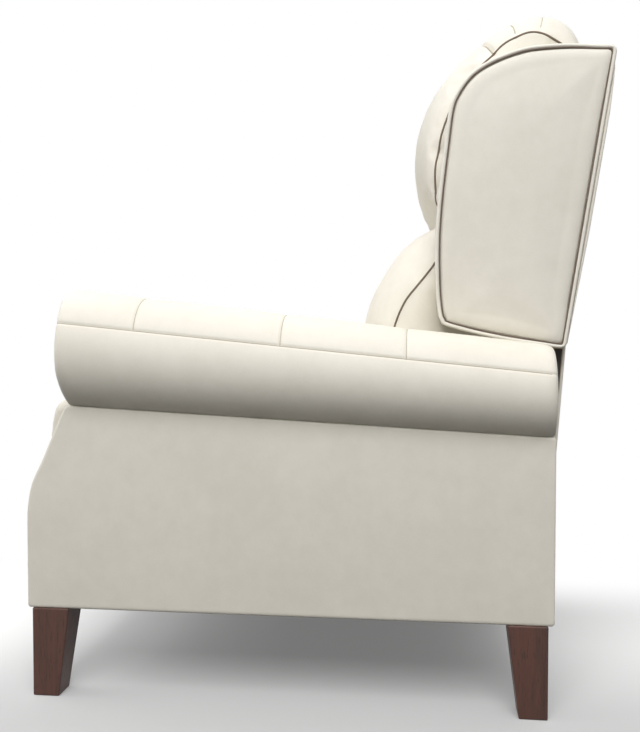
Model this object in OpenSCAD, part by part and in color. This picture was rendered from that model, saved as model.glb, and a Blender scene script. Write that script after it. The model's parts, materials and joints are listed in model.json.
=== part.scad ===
// High leg recliner: upholstered arms on a steel swing-link mechanism, with a
// footrest carried by parallel cranks and a back on two hinge brackets.
// Lengths in millimetres. X across, +X the sitter's left. -Y is the front.
// Side outlines are written as [distance behind the front legs, height].

/* [Overall] */
// Distance from the front of the front legs to the middle of the chair
mid_depth = 442; // [436:1:448]
// Height of the legs, which is the height of the side's lower edge
leg_h = 139; // [110:1:170]
// Depth over the legs, front face to rear face
leg_span = 790; // [770:1:810]

/* [Legs] */
// Width of a leg at its top
leg_top = 59; // [50:1:64]
// Width of a leg at the floor
leg_foot = 42; // [32:1:50]
// How far a leg stands out past the side panel
leg_proud = 1; // [0.5:0.5:3]
// Radius of a leg bolt
leg_bolt_r = 5; // [4:0.5:7]
// Length of a leg bolt inside the leg
leg_bolt_down = 60; // [40:1:80]
// Length of a leg bolt inside the rail
leg_bolt_up = 36; // [25:1:45]

/* [Sides] */
// Outer face of the side panels from the middle
side_out = 366; // [360:1:370]
// Thickness of the outer side panel
outer_t = 14; // [8:1:20]
// Thickness of the inner side panel
inner_t = 12; // [8:1:18]
// Front edge of the side ahead of the front legs
side_lead = 8; // [4:1:12]
// Rear edge of the side behind the rear legs
side_trail = 9; // [4:1:12]
// Height at which the front edge starts to curve back
curve_z = 270; // [240:5:300]
// How far the front edge has gone back under the arm
curve_back = 72; // [50:1:90]
// Height of the arm's underside at the front
under_front = 457; // [450:1:470]
// Height of the arm's underside at the rear
under_rear = 417; // [405:1:430]
// Thickness of the front and rear bands
band_t = 12; // [8:1:16]
// Width of the frame members
member = 45; // [35:1:55]
// Thickness of the inner frame posts
post_t = 30; // [24:1:34]
// Thickness of the rear rail
rail_t = 20; // [14:1:22]
// Height at which the rear rail narrows to pass the hinges
apron_step = 225; // [200:1:232]
// Top of the rear rail
apron_top = 278; // [240:1:282]
// Distance of the rear rail's ends inside the back's sides
apron_side = 9; // [6:1:20]
// Gap between a stuffed piece and the board under it
seat_gap = 0.3; // [0.2:0.05:0.5]

/* [Arm rolls] */
// Front end of the arm roll
roll_start = 47; // [40:1:54]
// How far the roll ends ahead of the side's rear edge
roll_short = 1; // [0:1:9]
// Highest point of the roll at the front
roll_top_front = 628; // [615:1:640]
// Highest point of the roll at the rear
roll_top_rear = 546; // [535:1:560]
// How far the roll hangs out past the side at the front
roll_hang_front = 40; // [34:1:44]
// How far the roll hangs out past the side at the rear
roll_hang_rear = 31; // [24:1:36]
// How far the roll stands in over the seat at the front
roll_over = 12; // [6:1:14]
// Distance of the roll from the inner side's face at the rear
roll_off = 4; // [1:1:8]
// Rise of each top panel between two cross seams
panel_crown = 5; // [2:0.5:8]
// Depth of the lengthwise seam
seam_depth = 2.5; // [1:0.5:4]
// Places of the cross seams
roll_seams = [186, 401, 584];

/* [Seat] */
// Gap between the seat cushion and the inner side
seat_side = 6; // [5:1:12]
// Underside of the seat cushion
seat_low = 372; // [371.5:0.5:374]
// Height of the seat cushion at its side
seat_high = 476; // [465:1:478]
// Crown of the seat cushion
seat_crown = 9; // [4:1:10]
// Nose of the seat ahead of the front legs
seat_nose = 15; // [12:1:17]
// Distance of the seat's rear end ahead of the side's rear edge
seat_ahead = 151; // [144:1:169]
// Underside of the seat frame
seat_rail_z = 322; // [321:0.5:324]
// Height of the seat frame rails
seat_rail_h = 38; // [34:0.5:38]
// Front face of the seat frame
seat_rail_front = 38; // [36:1:42]
// Width of the seat frame rails
seat_rail_w = 34; // [28:1:38]
// Thickness of the spring wire
wire = 3.5; // [2.5:0.5:4]
// Swing of the spring wire to each side
spring_amp = 20; // [14:1:24]
// Length of one wave of the spring wire
spring_wave = 60; // [50:1:80]
// Springs across the seat
seat_spring_count = 5; // [3:1:5]

/* [Mechanism] */
// Thickness of plates and links
plate_t = 4; // [3:0.5:4]
// Side gap between two steel layers
layer_gap = 0.5; // [0.4:0.1:0.6]
// Side gap beside a swing link
swing_gap = 1; // [0.6:0.1:1]
// Radius of the pivot studs
stud_r = 4; // [3:0.25:4.5]
// Running clearance of a stud in its hole
stud_fit = 0.05; // [0.03:0.01:0.1]
// Thickness of a stud head
head_t = 2.5; // [1.5:0.25:2.75]
// How far an eye stands out from its link on each side
eye_lip = 0.6; // [0.3:0.1:1]
// Half width of the footrest links
link_half = 8; // [7:0.25:8.5]
// Half width of the swing links
swing_half = 12; // [10:0.5:14]
// Length of the swing links
swing_len = 120; // [110:1:125]
// Lean of the swing links to the rear with the chair closed
swing_lean = 15; // [12:0.5:18]
// Height of the swing pivots on the base
swing_z = 204; // [200:1:206]
// Place of the front swing pivot on the base
swing_front = 330; // [320:1:345]
// Distance of the rear swing pivot ahead of the side's rear edge
swing_ahead = 159; // [149:1:179]
// Length of the footrest cranks
crank_len = 150; // [145:0.5:150]
// Distance from the stay stud to the end of the crank
stay_in = 36; // [34:0.5:38]
// Lean of the cranks to the rear with the chair closed
crank_lean = 25; // [23:0.5:27]
// Place of the front crank pivot
crank_u = 97; // [94:1:100]
// Height of the crank pivots
crank_z = 300; // [298:0.5:302]
// Distance between the front and the rear crank pivots
crank_step = 44; // [42:0.5:50]
// Place of the footrest pivot with the chair closed
foot_u = 62; // [60:0.5:63]
// Height of the footrest pivot with the chair closed
foot_z = 275; // [272:0.5:277]
// Distance from the crank pivot to the drive tube
drive_down = 45; // [40:1:50]
// Radius of the drive tube
drive_r = 8; // [6:0.5:8]
// Radius of the cross tubes
tube_r = 11; // [9:0.5:12]
// Wall of the tubes
tube_wall = 2; // [1.5:0.25:3]
// Height of the cross tubes
tube_z = 165; // [162:1:167]
// Place of the front cross tube
tube_front = 242; // [238:1:250]
// Distance of the rear cross tube ahead of the side's rear edge
tube_ahead = 207; // [199:1:239]
// Radius of a mechanism screw
screw_r = 2.5; // [2:0.25:3]

/* [Footrest] */
// Gap between the footrest and the inner side
foot_side = 4; // [3:1:10]
// Back of the footrest board
board_back = 30; // [29:0.5:31]
// Thickness of the footrest board
board_t = 18; // [15:1:20]
// Thickness of the footrest pad
pad_t = 25; // [20:1:26]
// Lower edge of the footrest
foot_low = 150; // [145:1:160]
// Upper edge of the footrest
foot_high = 366; // [355:1:367]

/* [Back] */
// Distance of the back hinge ahead of the side's rear edge
hinge_ahead = 24; // [21:1:29]
// Height of the back hinge
hinge_z = 300; // [296:1:304]
// Half width of the back between the arms
back_half = 249; // [246:1:249]
// How far the outside back stands out over each arm
back_over = 41; // [31:1:47]
// Thickness of the outside back
back_skin = 5; // [5:0.5:9]
// Depth of the back frame
back_deep = 46; // [38:1:50]
// Top edge of the outside back
back_top = 989; // [970:1:995]
// Lower edge of the back
back_low = 345; // [340:1:352]
// Height at which the back starts to lean
back_bend = 394; // [388:1:400]
// Height at which the outside back widens
back_step = 552; // [549:1:560]
// How far the back's lower edge stands behind the side
back_off_low = 14; // [12:1:16]
// How far the back stands behind the side where it starts to lean
back_off_bend = 18; // [16:1:20]
// How far the back stands behind the side where it widens
back_off_step = 30; // [28:1:32]
// How far the back's top stands behind the side
back_off_top = 99; // [90:1:108]
// Distance of the welt bed outside the back's side
bed_over = 39; // [34:1:41]
// Rise of the wing's face over the welt bed
wing_face = 13; // [10:1:15]
// Radius of the welt cord
welt_r = 3.25; // [3:0.25:4]
// Gap between a pillow and the wing beside it
pillow_gap = 0.5; // [0.3:0.1:0.9]
// How squarely the pillows keep their height towards their ends
pillow_square = 5; // [3:0.5:6]
// Gap between a wing's rear edge and the outside back
wing_gap = 0.6; // [0.4:0.1:0.9]
// Springs across the back
back_spring_count = 4; // [3:1:4]

/* [Hidden] */
// Every curved face that stays round is cut this finely
$fn = 48;
rear_u = leg_span + side_trail;
leg_out = side_out + leg_proud;
side_in = back_half + 2 * plate_t + swing_gap;
rail_in = side_in + inner_t + post_t;
apron_half = back_half - apron_side;
roll_end = rear_u - roll_short;
roll_out_front = side_out + roll_hang_front;
roll_out_rear = side_out + roll_hang_rear;
roll_in_front = side_in - roll_over;
roll_in_rear = side_in + roll_off;
seat_half = side_in - seat_side;
seat_rear = rear_u - seat_ahead;
swing_rear = rear_u - swing_ahead;
tube_rear = rear_u - tube_ahead;
foot_half = side_in - foot_side;
hinge_u = rear_u - hinge_ahead;
back_wide = back_half + back_over;
wing_bed = back_half + bed_over;
wing_out = wing_bed + wing_face;
roll_slope = (under_rear - under_front) / (rear_u - 58);
x_seat = side_in - 2 * plate_t - 2 * swing_gap - plate_t;
x_plate = x_seat + plate_t;
x_swing = x_plate + swing_gap;
x_base = side_in - plate_t;
x_stay = x_seat - layer_gap - plate_t;
x_crank = x_stay - layer_gap - plate_t;
x_reach = x_crank - layer_gap - plate_t;
swing_top = [swing_len * sin(swing_lean), swing_len * cos(swing_lean)];
crank_dir = [sin(crank_lean), -cos(crank_lean)];
crank_p = [crank_u, crank_z];
crank_q = [crank_u + crank_step, crank_z];
knee = crank_p + crank_len * crank_dir;
knee_rear = crank_q + crank_len * crank_dir;
stay_low = crank_p + (crank_len - stay_in) * crank_dir;
foot_p = [foot_u, foot_z];
stay_high = foot_p - stay_in * crank_dir;
drive_p = crank_p + drive_down * crank_dir;
spring_z = seat_rail_z + seat_rail_h;
wing_in = back_half + seat_gap;
pillow_half = wing_in - pillow_gap;
frame_top = back_top - back_skin - seat_gap;
hole_r = stud_r + stud_fit;

function lerp(a, b, t) = a + (b - a) * t;
function wrap(i, n) = (i + n) % n;
function smooth(a, b, c, d, t) =
  0.5 * (2 * b + (c - a) * t + (2 * a - 5 * b + 4 * c - d) * t * t + (3 * b - a - 3 * c + d) * t * t * t);
// A closed smooth curve through the points, with k steps to each next point
function curve(p, k) =
  [for (i = [0:len(p) - 1]) for (j = [0:k - 1])
    smooth(p[wrap(i - 1, len(p))], p[i], p[wrap(i + 1, len(p))], p[wrap(i + 2, len(p))], j / k)];
function unit(v) = v / max(norm(v), 1e-6);
function inward(p, i) =
  let (t = unit(p[wrap(i + 1, len(p))] - p[wrap(i - 1, len(p))])) [-t[1], t[0]];
// The same curve drawn in by d
function inset(p, d) = [for (i = [0:len(p) - 1]) p[i] + d * inward(p, i)];
function middle(p) = [for (k = [0:len(p[0]) - 1]) let (s = [for (q = p) q[k]]) (max(s) + min(s)) / 2];
// The same curve drawn in by d on every side, however thin it is
function draw_in(p, d) =
  let (m = middle(p), h = [for (k = [0, 1]) max([for (q = p) q[k]]) - m[k]])
  [for (q = p) [for (k = [0, 1]) m[k] + (q[k] - m[k]) * (1 - d / h[k])]];
function shrink(p, f) = let (m = middle(p)) [for (q = p) m + f * (q - m)];
function at_x(x, p) = [for (q = p) [x, q[0], q[1]]];

// Height of the arm's underside at a place along the side
function under(u) = under_front + roll_slope * (u - 58);
// Front edge of the side at a height
function front_u(z) =
  -side_lead + (z > curve_z ? curve_back * pow((z - curve_z) / (under_front - curve_z), 2) : 0);
// Rear face of the back at a height
function back_u(z) =
  rear_u + (z > back_step ? lerp(back_off_step, back_off_top, (z - back_step) / (back_top - back_step))
    : z > back_bend ? lerp(back_off_bend, back_off_step, (z - back_bend) / (back_step - back_bend))
    : lerp(back_off_low, back_off_bend, (z - back_low) / (back_bend - back_low)));

// The outlines of the wings and pillows were drawn for a chair with these places
drawn_rear = 799;
drawn_step = 552;
drawn_top = 989;
function drawn_z(z) =
  z > drawn_step ? back_step + (z - drawn_step) * (back_top - back_step) / (drawn_top - drawn_step)
    : z * back_step / drawn_step;
function drawn(p) = [for (q = p) [q[0] + rear_u - drawn_rear, drawn_z(q[1])]];

// A ring-by-ring skin closed at both ends, with each ring turning about the way it goes
module skin(rings) {
  n = len(rings[0]);
  m = len(rings);
  pts = concat([for (r = rings) each r], [middle(rings[0]), middle(rings[m - 1])]);
  walls = [for (j = [0:m - 2]) for (i = [0:n - 1])
    each [[j * n + i, (j + 1) * n + (i + 1) % n, j * n + (i + 1) % n],
          [j * n + i, (j + 1) * n + i, (j + 1) * n + (i + 1) % n]]];
  near = [for (i = [0:n - 1]) [m * n, i, (i + 1) % n]];
  far = [for (i = [0:n - 1]) [m * n + 1, (m - 1) * n + (i + 1) % n, (m - 1) * n + i]];
  polyhedron(points = pts, faces = concat(walls, near, far));
}

// Moves an outline measured from the front legs to the chair's own middle
module place() {
  translate([0, -mid_depth, 0]) children();
}

module right_side() {
  mirror([1, 0, 0]) children();
}

// A side outline given a thickness from x0 to x1
module slab(x0, x1) {
  translate([x0, 0, 0])
    rotate([90, 0, 90])
      linear_extrude(height = x1 - x0)
        children();
}

module block(x0, x1, u0, u1, z0, z1) {
  translate([x0, u0, z0]) cube([x1 - x0, u1 - u0, z1 - z0]);
}

module dot(p, r) {
  translate(p) circle(r);
}

module strip(p, q, half) {
  d = q - p;
  translate(p)
    rotate(atan2(d[1], d[0]))
      translate([0, -half])
        square([norm(d), 2 * half]);
}

// A flat link whose round eyes stand out a little from its bar
module bar2d(p, q, half) {
  dot(p, half);
  dot(q, half);
  strip(p, q, half - eye_lip);
}

// A stud across the layers, with its head on the side given last
module stud(p, x0, x1, head_x) {
  slab(x0, x1) dot(p, stud_r);
  slab(head_x, head_x + head_t) dot(p, stud_r + 2.5);
}

module plain_stud(p, x0, x1) {
  slab(x0, x1) dot(p, stud_r);
}

// Legs
module leg(at_front) {
  flip = at_front ? 0 : 1;
  color([0.22, 0.13, 0.09])
    difference() {
      intersection() {
        translate([0, mirror_u(flip, 0), 0])
          mirror([0, flip, 0])
            slab(leg_out - leg_top, leg_out)
              polygon([[0, 0], [leg_foot, 0], [leg_top, leg_h], [0, leg_h]]);
        translate([0, leg_span + 1, 0])
          rotate([90, 0, 0])
            linear_extrude(height = leg_span + 2)
              polygon([[leg_out, 0], [leg_out, leg_h], [leg_out - leg_top, leg_h], [leg_out - leg_foot, 0]]);
      }
      bolt(flip, stud_fit);
    }
}

function mirror_u(flip, u) = flip == 1 ? leg_span - u : u;

module bolt(flip, grow) {
  translate([leg_out - leg_top / 2 + 2, mirror_u(flip, leg_top / 2 - 2), leg_h - leg_bolt_down - grow])
    cylinder(r = leg_bolt_r + grow, h = leg_bolt_down + leg_bolt_up + 2 * grow);
}

module leg_bolts() {
  color([0.5, 0.5, 0.52])
    for (flip = [0, 1]) {
      bolt(flip, 0);
      mirror([1, 0, 0]) bolt(flip, 0);
    }
}

// Sides
// The side's curved front edge, drawn in by d
function front_line(d) =
  [for (i = [0:12])
    let (z = i == 0 ? leg_h : lerp(curve_z - 10, under_front + 1, (i - 1) / 11))
      [front_u(z) + d, z]];

// Everything under the arm roll
module below2d(lower) {
  polygon([[-60, 0], [rear_u + 60, 0], [rear_u + 60, under(rear_u + 60) - lower], [-60, under(-60) - lower]]);
}

// The side's outline, drawn in by d at its front and rear
module side2d(d) {
  intersection() {
    polygon(concat(front_line(d), [[rear_u - d, under_front + 1], [rear_u - d, leg_h]]));
    below2d(seat_gap);
  }
}

module outer_side() {
  color([0.86, 0.84, 0.79])
    slab(side_out - outer_t, side_out)
      side2d(0);
}

module inner_side() {
  color([0.84, 0.82, 0.77])
    difference() {
      slab(side_in, side_in + inner_t)
        side2d(0);
      for (u = screw_places)
        slab(side_in - 1, side_in + inner_t + 1)
          dot([u, tube_z], screw_r + stud_fit);
    }
}

module side_frame() {
  x0 = side_in + inner_t;
  x1 = side_out - outer_t;
  tall = 2 * under_front;
  from = band_t + member;
  to = rear_u - band_t - member;
  color([0.70, 0.55, 0.36])
    difference() {
      union() {
        slab(rail_in, x1)
          intersection() {
            side2d(band_t);
            difference() {
              translate([-member, 0]) square([rear_u + 2 * member, tall]);
              polygon([[from, leg_h + member], [to, leg_h + member], [to, under(rear_u) - member],
                [front_u(under_front - member) + from, under_front - member]]);
            }
          }
        slab(x0, rail_in)
          difference() {
            side2d(band_t);
            polygon([[from, 0], [to, 0], [to, tall], [front_u(under_front) + from, tall],
              [front_u(under_front) + from, under_front - member]]);
          }
      }
      for (flip = [0, 1]) bolt(flip, stud_fit);
    }
}

module front_band() {
  color([0.86, 0.84, 0.79])
    slab(side_in + inner_t, side_out - outer_t)
      intersection() {
        polygon(concat(front_line(0), [for (i = [12:-1:0]) front_line(band_t)[i]]));
        below2d(seat_gap);
      }
}

module rear_band() {
  color([0.86, 0.84, 0.79])
    block(side_in + inner_t, side_out - outer_t, rear_u - band_t, rear_u, leg_h, under(rear_u) - seat_gap);
}

// One ring of the arm roll at a place along the side
function roll_ring(u, f) =
  let (t = (u - roll_start) / (roll_end - roll_start),
    top = lerp(roll_top_front, roll_top_rear, t),
    low = under(u),
    out = lerp(roll_out_front, roll_out_rear, t),
    inn = lerp(roll_in_front, roll_in_rear, t),
    w = (out - inn) / 2,
    c = (out + inn) / 2,
    k = sqrt(1 - pow((side_out - c) / w, 2)),
    h = (top - low) / (1 + k),
    zc = top - h,
    edges = concat([roll_start], roll_seams, [roll_end]),
    cell = [for (i = [0:len(edges) - 2]) if (u >= edges[i] && u <= edges[i + 1])
      (u - edges[i]) / (edges[i + 1] - edges[i])],
    bulge = panel_crown * pow(max(0, sin(180 * cell[0])), 0.6),
    outer = [for (i = [0:11]) let (a = 300 + 12.5 * i) [c + w * cos(a), max(low, zc + h * sin(a))]],
    seam = [let (a = 90 - 58) [c + (w - seam_depth) * cos(a), zc + (h - seam_depth) * sin(a)]],
    crest = [for (i = [0:8])
      let (a = 40 + 17.5 * i)
        [c + w * cos(a), zc + h * sin(a) + bulge * sin(180 * (i + 0.5) / 9)]],
    inner = [[inn, zc], [lerp(inn, side_in + 2, 0.5), lerp(zc, low, 0.55)], [side_in + 3, low]],
    free = [for (p = outer) if (p[0] > side_out + 1 && atan2(p[1] - zc, p[0] - c) < 26) p],
    ring = concat([[side_out, low]], free, seam, crest, inner))
  [for (p = ring) [lerp(c, p[0], f), u, lerp(zc, p[1], f)]];

module arm_roll() {
  front = [[0, 0.5], [3, 0.72], [9, 0.87], [18, 0.96], [30, 1]];
  back = [[14, 1], [7, 0.975], [2, 0.93], [0, 0.84]];
  marks = concat([roll_start], roll_seams, [roll_end]);
  inner = [for (i = [0:len(marks) - 2]) for (k = [0:4])
    if (i + k > 0) let (u = lerp(marks[i], marks[i + 1], [0, 0.12, 0.35, 0.65, 0.88][k]))
      if (u > roll_start + 32 && u < roll_end - 16) u];
  stations = concat([for (e = front) [roll_start + e[0], e[1]]], [for (u = inner) [u, 1]],
    [for (e = back) [roll_end - e[0], e[1]]]);
  color([0.93, 0.91, 0.87])
    skin([for (s = stations) let (r = roll_ring(s[0], s[1])) [for (i = [len(r) - 1:-1:0]) r[i]]]);
}

module rear_rail() {
  color([0.84, 0.82, 0.77]) {
    block(-side_in, side_in, rear_u - rail_t - 2, rear_u - 2, leg_h + 6, apron_step);
    block(-apron_half, apron_half, rear_u - rail_t - 2, rear_u - 2, apron_step - 0.01, apron_top);
  }
}

// Base mechanism
screw_places = [swing_front - 55, swing_front + 45, swing_rear - 85, swing_rear + 45];

module base_plate() {
  color([0.20, 0.20, 0.21])
    difference() {
      slab(x_base, side_in)
        difference() {
          polygon([[tube_front - 22, leg_h + 10], [hinge_u - 8, leg_h + 10], [hinge_u - 5, swing_z + 30],
            [hinge_u + 18, hinge_z - 22], [hinge_u + 18, hinge_z + 18], [hinge_u - 18, hinge_z + 18],
            [min(swing_rear + 70, hinge_u - 40), swing_z + 36], [tube_front - 22, swing_z + 36]]);
          dot([swing_front, swing_z], hole_r);
          dot([swing_rear, swing_z], hole_r);
          dot([hinge_u, hinge_z], hole_r);
          for (u = screw_places) dot([u, tube_z], screw_r + stud_fit);
          translate([swing_front + 60, swing_z - 10]) square([swing_rear - swing_front - 120, 26]);
        }
    }
}

module cross_tubes() {
  color([0.20, 0.20, 0.21])
    for (u = [tube_front, tube_rear])
      slab(-x_base, x_base)
        difference() {
          dot([u, tube_z], tube_r);
          dot([u, tube_z], tube_r - tube_wall);
        }
}

module base_rivets() {
  color([0.62, 0.62, 0.64])
    for (s = [0, 1])
      mirror([s, 0, 0])
        for (p = [[swing_front, swing_z], [swing_rear, swing_z], [hinge_u, hinge_z]])
          stud(p, x_swing - swing_gap / 2, side_in, x_swing - swing_gap / 2 - head_t);
}

module mechanism_screws() {
  color([0.62, 0.62, 0.64])
    for (s = [0, 1])
      mirror([s, 0, 0])
        for (u = screw_places) {
          slab(x_base - 2, side_in + inner_t - 1) dot([u, tube_z], screw_r);
          slab(x_base - 2, x_base) dot([u, tube_z], screw_r * 2);
        }
}

// A swing link at rest, between its pivot on the base and its pivot on the seat
module swing(u) {
  p = [u, swing_z];
  q = p + swing_top;
  color([0.30, 0.30, 0.31])
    slab(x_swing, x_swing + plate_t)
      difference() {
        bar2d(p, q, swing_half);
        dot(p, hole_r);
        dot(q, hole_r);
      }
}

// Seat
module seat_plate() {
  q1 = [swing_front, swing_z] + swing_top;
  q2 = [swing_rear, swing_z] + swing_top;
  top = seat_rail_z + 26;
  color([0.24, 0.24, 0.25])
    slab(x_seat, x_seat + plate_t)
      difference() {
        union() {
          polygon([[seat_rail_front, crank_z - 2], [crank_u - 20, crank_z - 14],
            [crank_q[0] + 20, crank_z - 14], [q1[0] - 30, q1[1] - 14], [q2[0] + 18, q2[1] - 14],
            [q2[0] + 18, seat_rail_z + 14], [q2[0] - 10, top], [seat_rail_front, top]]);
        }
        for (p = [crank_p, crank_q, q1, q2]) dot(p, hole_r);
        translate([q1[0] + 40, q1[1] - 2]) square([q2[0] - q1[0] - 80, 16]);
      }
}

module seat_rivets() {
  q1 = [swing_front, swing_z] + swing_top;
  q2 = [swing_rear, swing_z] + swing_top;
  color([0.62, 0.62, 0.64])
    for (s = [0, 1])
      mirror([s, 0, 0]) {
        for (p = [q1, q2])
          stud(p, x_seat, x_swing + plate_t + swing_gap / 2, x_swing + plate_t + swing_gap / 2);
        for (p = [crank_p, crank_q]) {
          stud(p, x_crank - layer_gap / 2, x_plate, x_crank - layer_gap / 2 - head_t);
          slab(x_stay, x_stay + plate_t) dot(p, stud_r + 3);
        }
      }
}

module seat_frame() {
  x1 = x_seat;
  color([0.70, 0.55, 0.36])
    translate([0, 0, seat_rail_z])
      linear_extrude(height = seat_rail_h)
        difference() {
          translate([-x1, seat_rail_front]) square([2 * x1, seat_rear - 2 - seat_rail_front]);
          translate([-x1 + seat_rail_w, seat_rail_front + seat_rail_w])
            square([2 * (x1 - seat_rail_w), seat_rear - 2 - seat_rail_front - 2 * seat_rail_w]);
        }
}

// A waved wire along the second axis, as a flat outline
module wave2d(y0, y1) {
  steps = round((y1 - y0) / spring_wave * 8);
  mid = [for (i = [0:steps])
    let (y = lerp(y0, y1, i / steps)) [spring_amp * sin(360 * (y - y0) / spring_wave), y]];
  side = [for (i = [0:steps])
    let (t = unit(mid[min(i + 1, steps)] - mid[max(i - 1, 0)])) [-t[1], t[0]] * wire / 2];
  polygon(concat([for (i = [0:steps]) mid[i] + side[i]], [for (i = [steps:-1:0]) mid[i] - side[i]]));
}

module seat_springs() {
  pitch = 2 * (x_seat - seat_rail_w) / seat_spring_count;
  color([0.45, 0.45, 0.47])
    for (i = [0:seat_spring_count - 1])
      translate([(i - (seat_spring_count - 1) / 2) * pitch, 0, spring_z])
        linear_extrude(height = wire)
          wave2d(seat_rail_front + 10, seat_rear - 12);
}

module seat_deck() {
  color([0.55, 0.54, 0.52])
    block(-x_seat + 4, x_seat - 4, seat_rail_front + 2, seat_rear - 36, spring_z + wire, seat_low - seat_gap);
}

// Side outline of the seat cushion, with its top raised by c
function seat_outline(c) =
  [[14, seat_low], [60, seat_low], [320, seat_low], [seat_rear - 60, seat_low],
    [seat_rear - 30, seat_low + 0.6], [seat_rear - 12, seat_low + 4], [seat_rear - 3, seat_low + 18],
    [seat_rear, lerp(seat_low, seat_high, 0.5)], [seat_rear - 8, seat_high - 14],
    [seat_rear - 40, seat_high + c * 0.5], [450, seat_high + c], [280, seat_high + c],
    [140, seat_high - 1 + c], [60, seat_high - 6 + c * 0.9], [22, seat_high - 15 + c * 0.7],
    [0, seat_high - 31 + c * 0.4], [-11, 420], [-seat_nose, 396], [-seat_nose + 3, seat_low + 8],
    [-seat_nose + 12, seat_low + 1]];

module seat_cushion() {
  cuts = [[1, 12], [0.992, 6], [0.972, 2], [0.93, 0], [0.72, 0], [0.38, 0], [0, 0]];
  half = [for (c = cuts)
    let (p = curve(seat_outline(seat_crown * (1 - pow(c[0], 2.5))), 2))
      at_x(-seat_half * c[0], inset(p, c[1]))];
  other = [for (i = [len(half) - 2:-1:0]) [for (p = half[i]) [-p[0], p[1], p[2]]]];
  color([0.93, 0.91, 0.87])
    skin(concat(half, other));
}

// Footrest mechanism
module crank_front() {
  color([0.30, 0.30, 0.31])
    slab(x_crank, x_crank + plate_t)
      difference() {
        bar2d(crank_p, knee, link_half);
        dot(crank_p, hole_r);
        dot(knee, hole_r);
        dot(stay_low, hole_r);
      }
}

module drive_tube() {
  color([0.20, 0.20, 0.21])
    slab(-x_crank, x_crank)
      difference() {
        dot(drive_p, drive_r);
        dot(drive_p, drive_r - tube_wall);
      }
}

module crank_rivets() {
  color([0.62, 0.62, 0.64])
    for (s = [0, 1])
      mirror([s, 0, 0]) {
        stud(knee, x_reach - layer_gap / 2, x_crank + plate_t, x_reach - layer_gap / 2 - head_t);
        plain_stud(stay_low, x_crank, x_stay + plate_t);
      }
}

module crank_rear() {
  color([0.30, 0.30, 0.31])
    slab(x_crank, x_crank + plate_t)
      difference() {
        bar2d(crank_q, knee_rear, link_half);
        dot(crank_q, hole_r);
        dot(knee_rear, hole_r);
      }
}

module rear_crank_rivets() {
  color([0.62, 0.62, 0.64])
    for (s = [0, 1])
      mirror([s, 0, 0])
        stud(knee_rear, x_reach - layer_gap / 2, x_crank + plate_t, x_reach - layer_gap / 2 - head_t);
}

module reach_link() {
  color([0.30, 0.30, 0.31])
    slab(x_reach, x_reach + plate_t)
      difference() {
        union() {
          bar2d(knee_rear, knee, link_half);
          bar2d(knee, foot_p, link_half);
        }
        for (p = [knee_rear, knee, foot_p]) dot(p, hole_r);
      }
}

module stay_link() {
  color([0.30, 0.30, 0.31])
    slab(x_stay, x_stay + plate_t)
      difference() {
        bar2d(stay_low, stay_high, link_half);
        dot(stay_low, hole_r);
        dot(stay_high, hole_r);
      }
}

// Footrest
module footrest_bracket() {
  color([0.24, 0.24, 0.25]) {
    slab(x_crank, x_crank + plate_t)
      difference() {
        union() {
          bar2d(foot_p, stay_high, link_half);
          polygon([foot_p + [0, -link_half], foot_p + [link_half, 0], stay_high + [link_half, 0],
            stay_high + [0, link_half], [board_back, stay_high[1] + link_half],
            [board_back, foot_p[1] - link_half - 6]]);
        }
        dot(foot_p, hole_r);
        dot(stay_high, hole_r);
      }
    block(x_crank - 26, x_crank + 1, board_back, board_back + 3,
      foot_p[1] - link_half - 6, stay_high[1] + link_half);
  }
}

module footrest_rivets() {
  color([0.62, 0.62, 0.64])
    for (s = [0, 1])
      mirror([s, 0, 0]) {
        stud(foot_p, x_reach - layer_gap / 2, x_crank + plate_t, x_reach - layer_gap / 2 - head_t);
        plain_stud(stay_high, x_crank, x_stay + plate_t);
      }
}

module footrest_board() {
  color([0.70, 0.55, 0.36])
    block(-foot_half + 4, foot_half - 4, board_back - board_t, board_back, foot_low + 3, foot_high - 3);
}

function pad_outline(c) =
  let (b = board_back - board_t - seat_gap, f = board_back - board_t - pad_t)
  [[b, foot_low + 3], [b, foot_low + 20], [b, lerp(foot_low, foot_high, 0.5)], [b, foot_high - 20],
    [b, foot_high - 3], [b - 4, foot_high - 0.5], [f + 12, foot_high - 2],
    [f + 4 - c * 0.2, foot_high - 14], [f + 3 - c, foot_high - 50],
    [f + 3 - c, lerp(foot_low, foot_high, 0.5)], [f + 3 - c, foot_low + 50],
    [f + 4 - c * 0.2, foot_low + 14], [f + 12, foot_low + 2], [b - 4, foot_low + 0.5]];

module footrest_pad() {
  cuts = [[1, 5], [0.985, 1.5], [0.95, 0], [0.7, 0], [0.35, 0], [0, 0]];
  half = [for (c = cuts)
    let (p = curve(pad_outline(3 * (1 - pow(c[0], 3))), 2))
      at_x(-foot_half * c[0], draw_in(p, c[1]))];
  other = [for (i = [len(half) - 2:-1:0]) [for (p = half[i]) [-p[0], p[1], p[2]]]];
  color([0.93, 0.91, 0.87])
    skin(concat(half, other));
}

// Back
// A slice of the back between two heights, from d0 to d1 ahead of its rear face
module back2d(z0, z1, d0, d1) {
  marks = [for (z = [back_bend, back_step]) if (z > z0 + 1 && z < z1 - 1) z];
  zs = concat([z0], marks, [z1]);
  polygon(concat([for (z = zs) [back_u(z) - d0, z]],
    [for (i = [len(zs) - 1:-1:0]) [back_u(zs[i]) - d1, zs[i]]]));
}

module outside_back() {
  color([0.86, 0.84, 0.79]) {
    slab(-back_wide, back_wide) back2d(back_step, back_top, 0, back_skin);
    slab(-wing_in + 1, wing_in - 1)
      back2d(back_top - back_skin, back_top, back_skin - 0.01, back_skin + back_deep);
    slab(-back_half, back_half) back2d(back_low, back_step + 0.01, 0, back_skin);
  }
}

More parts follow.
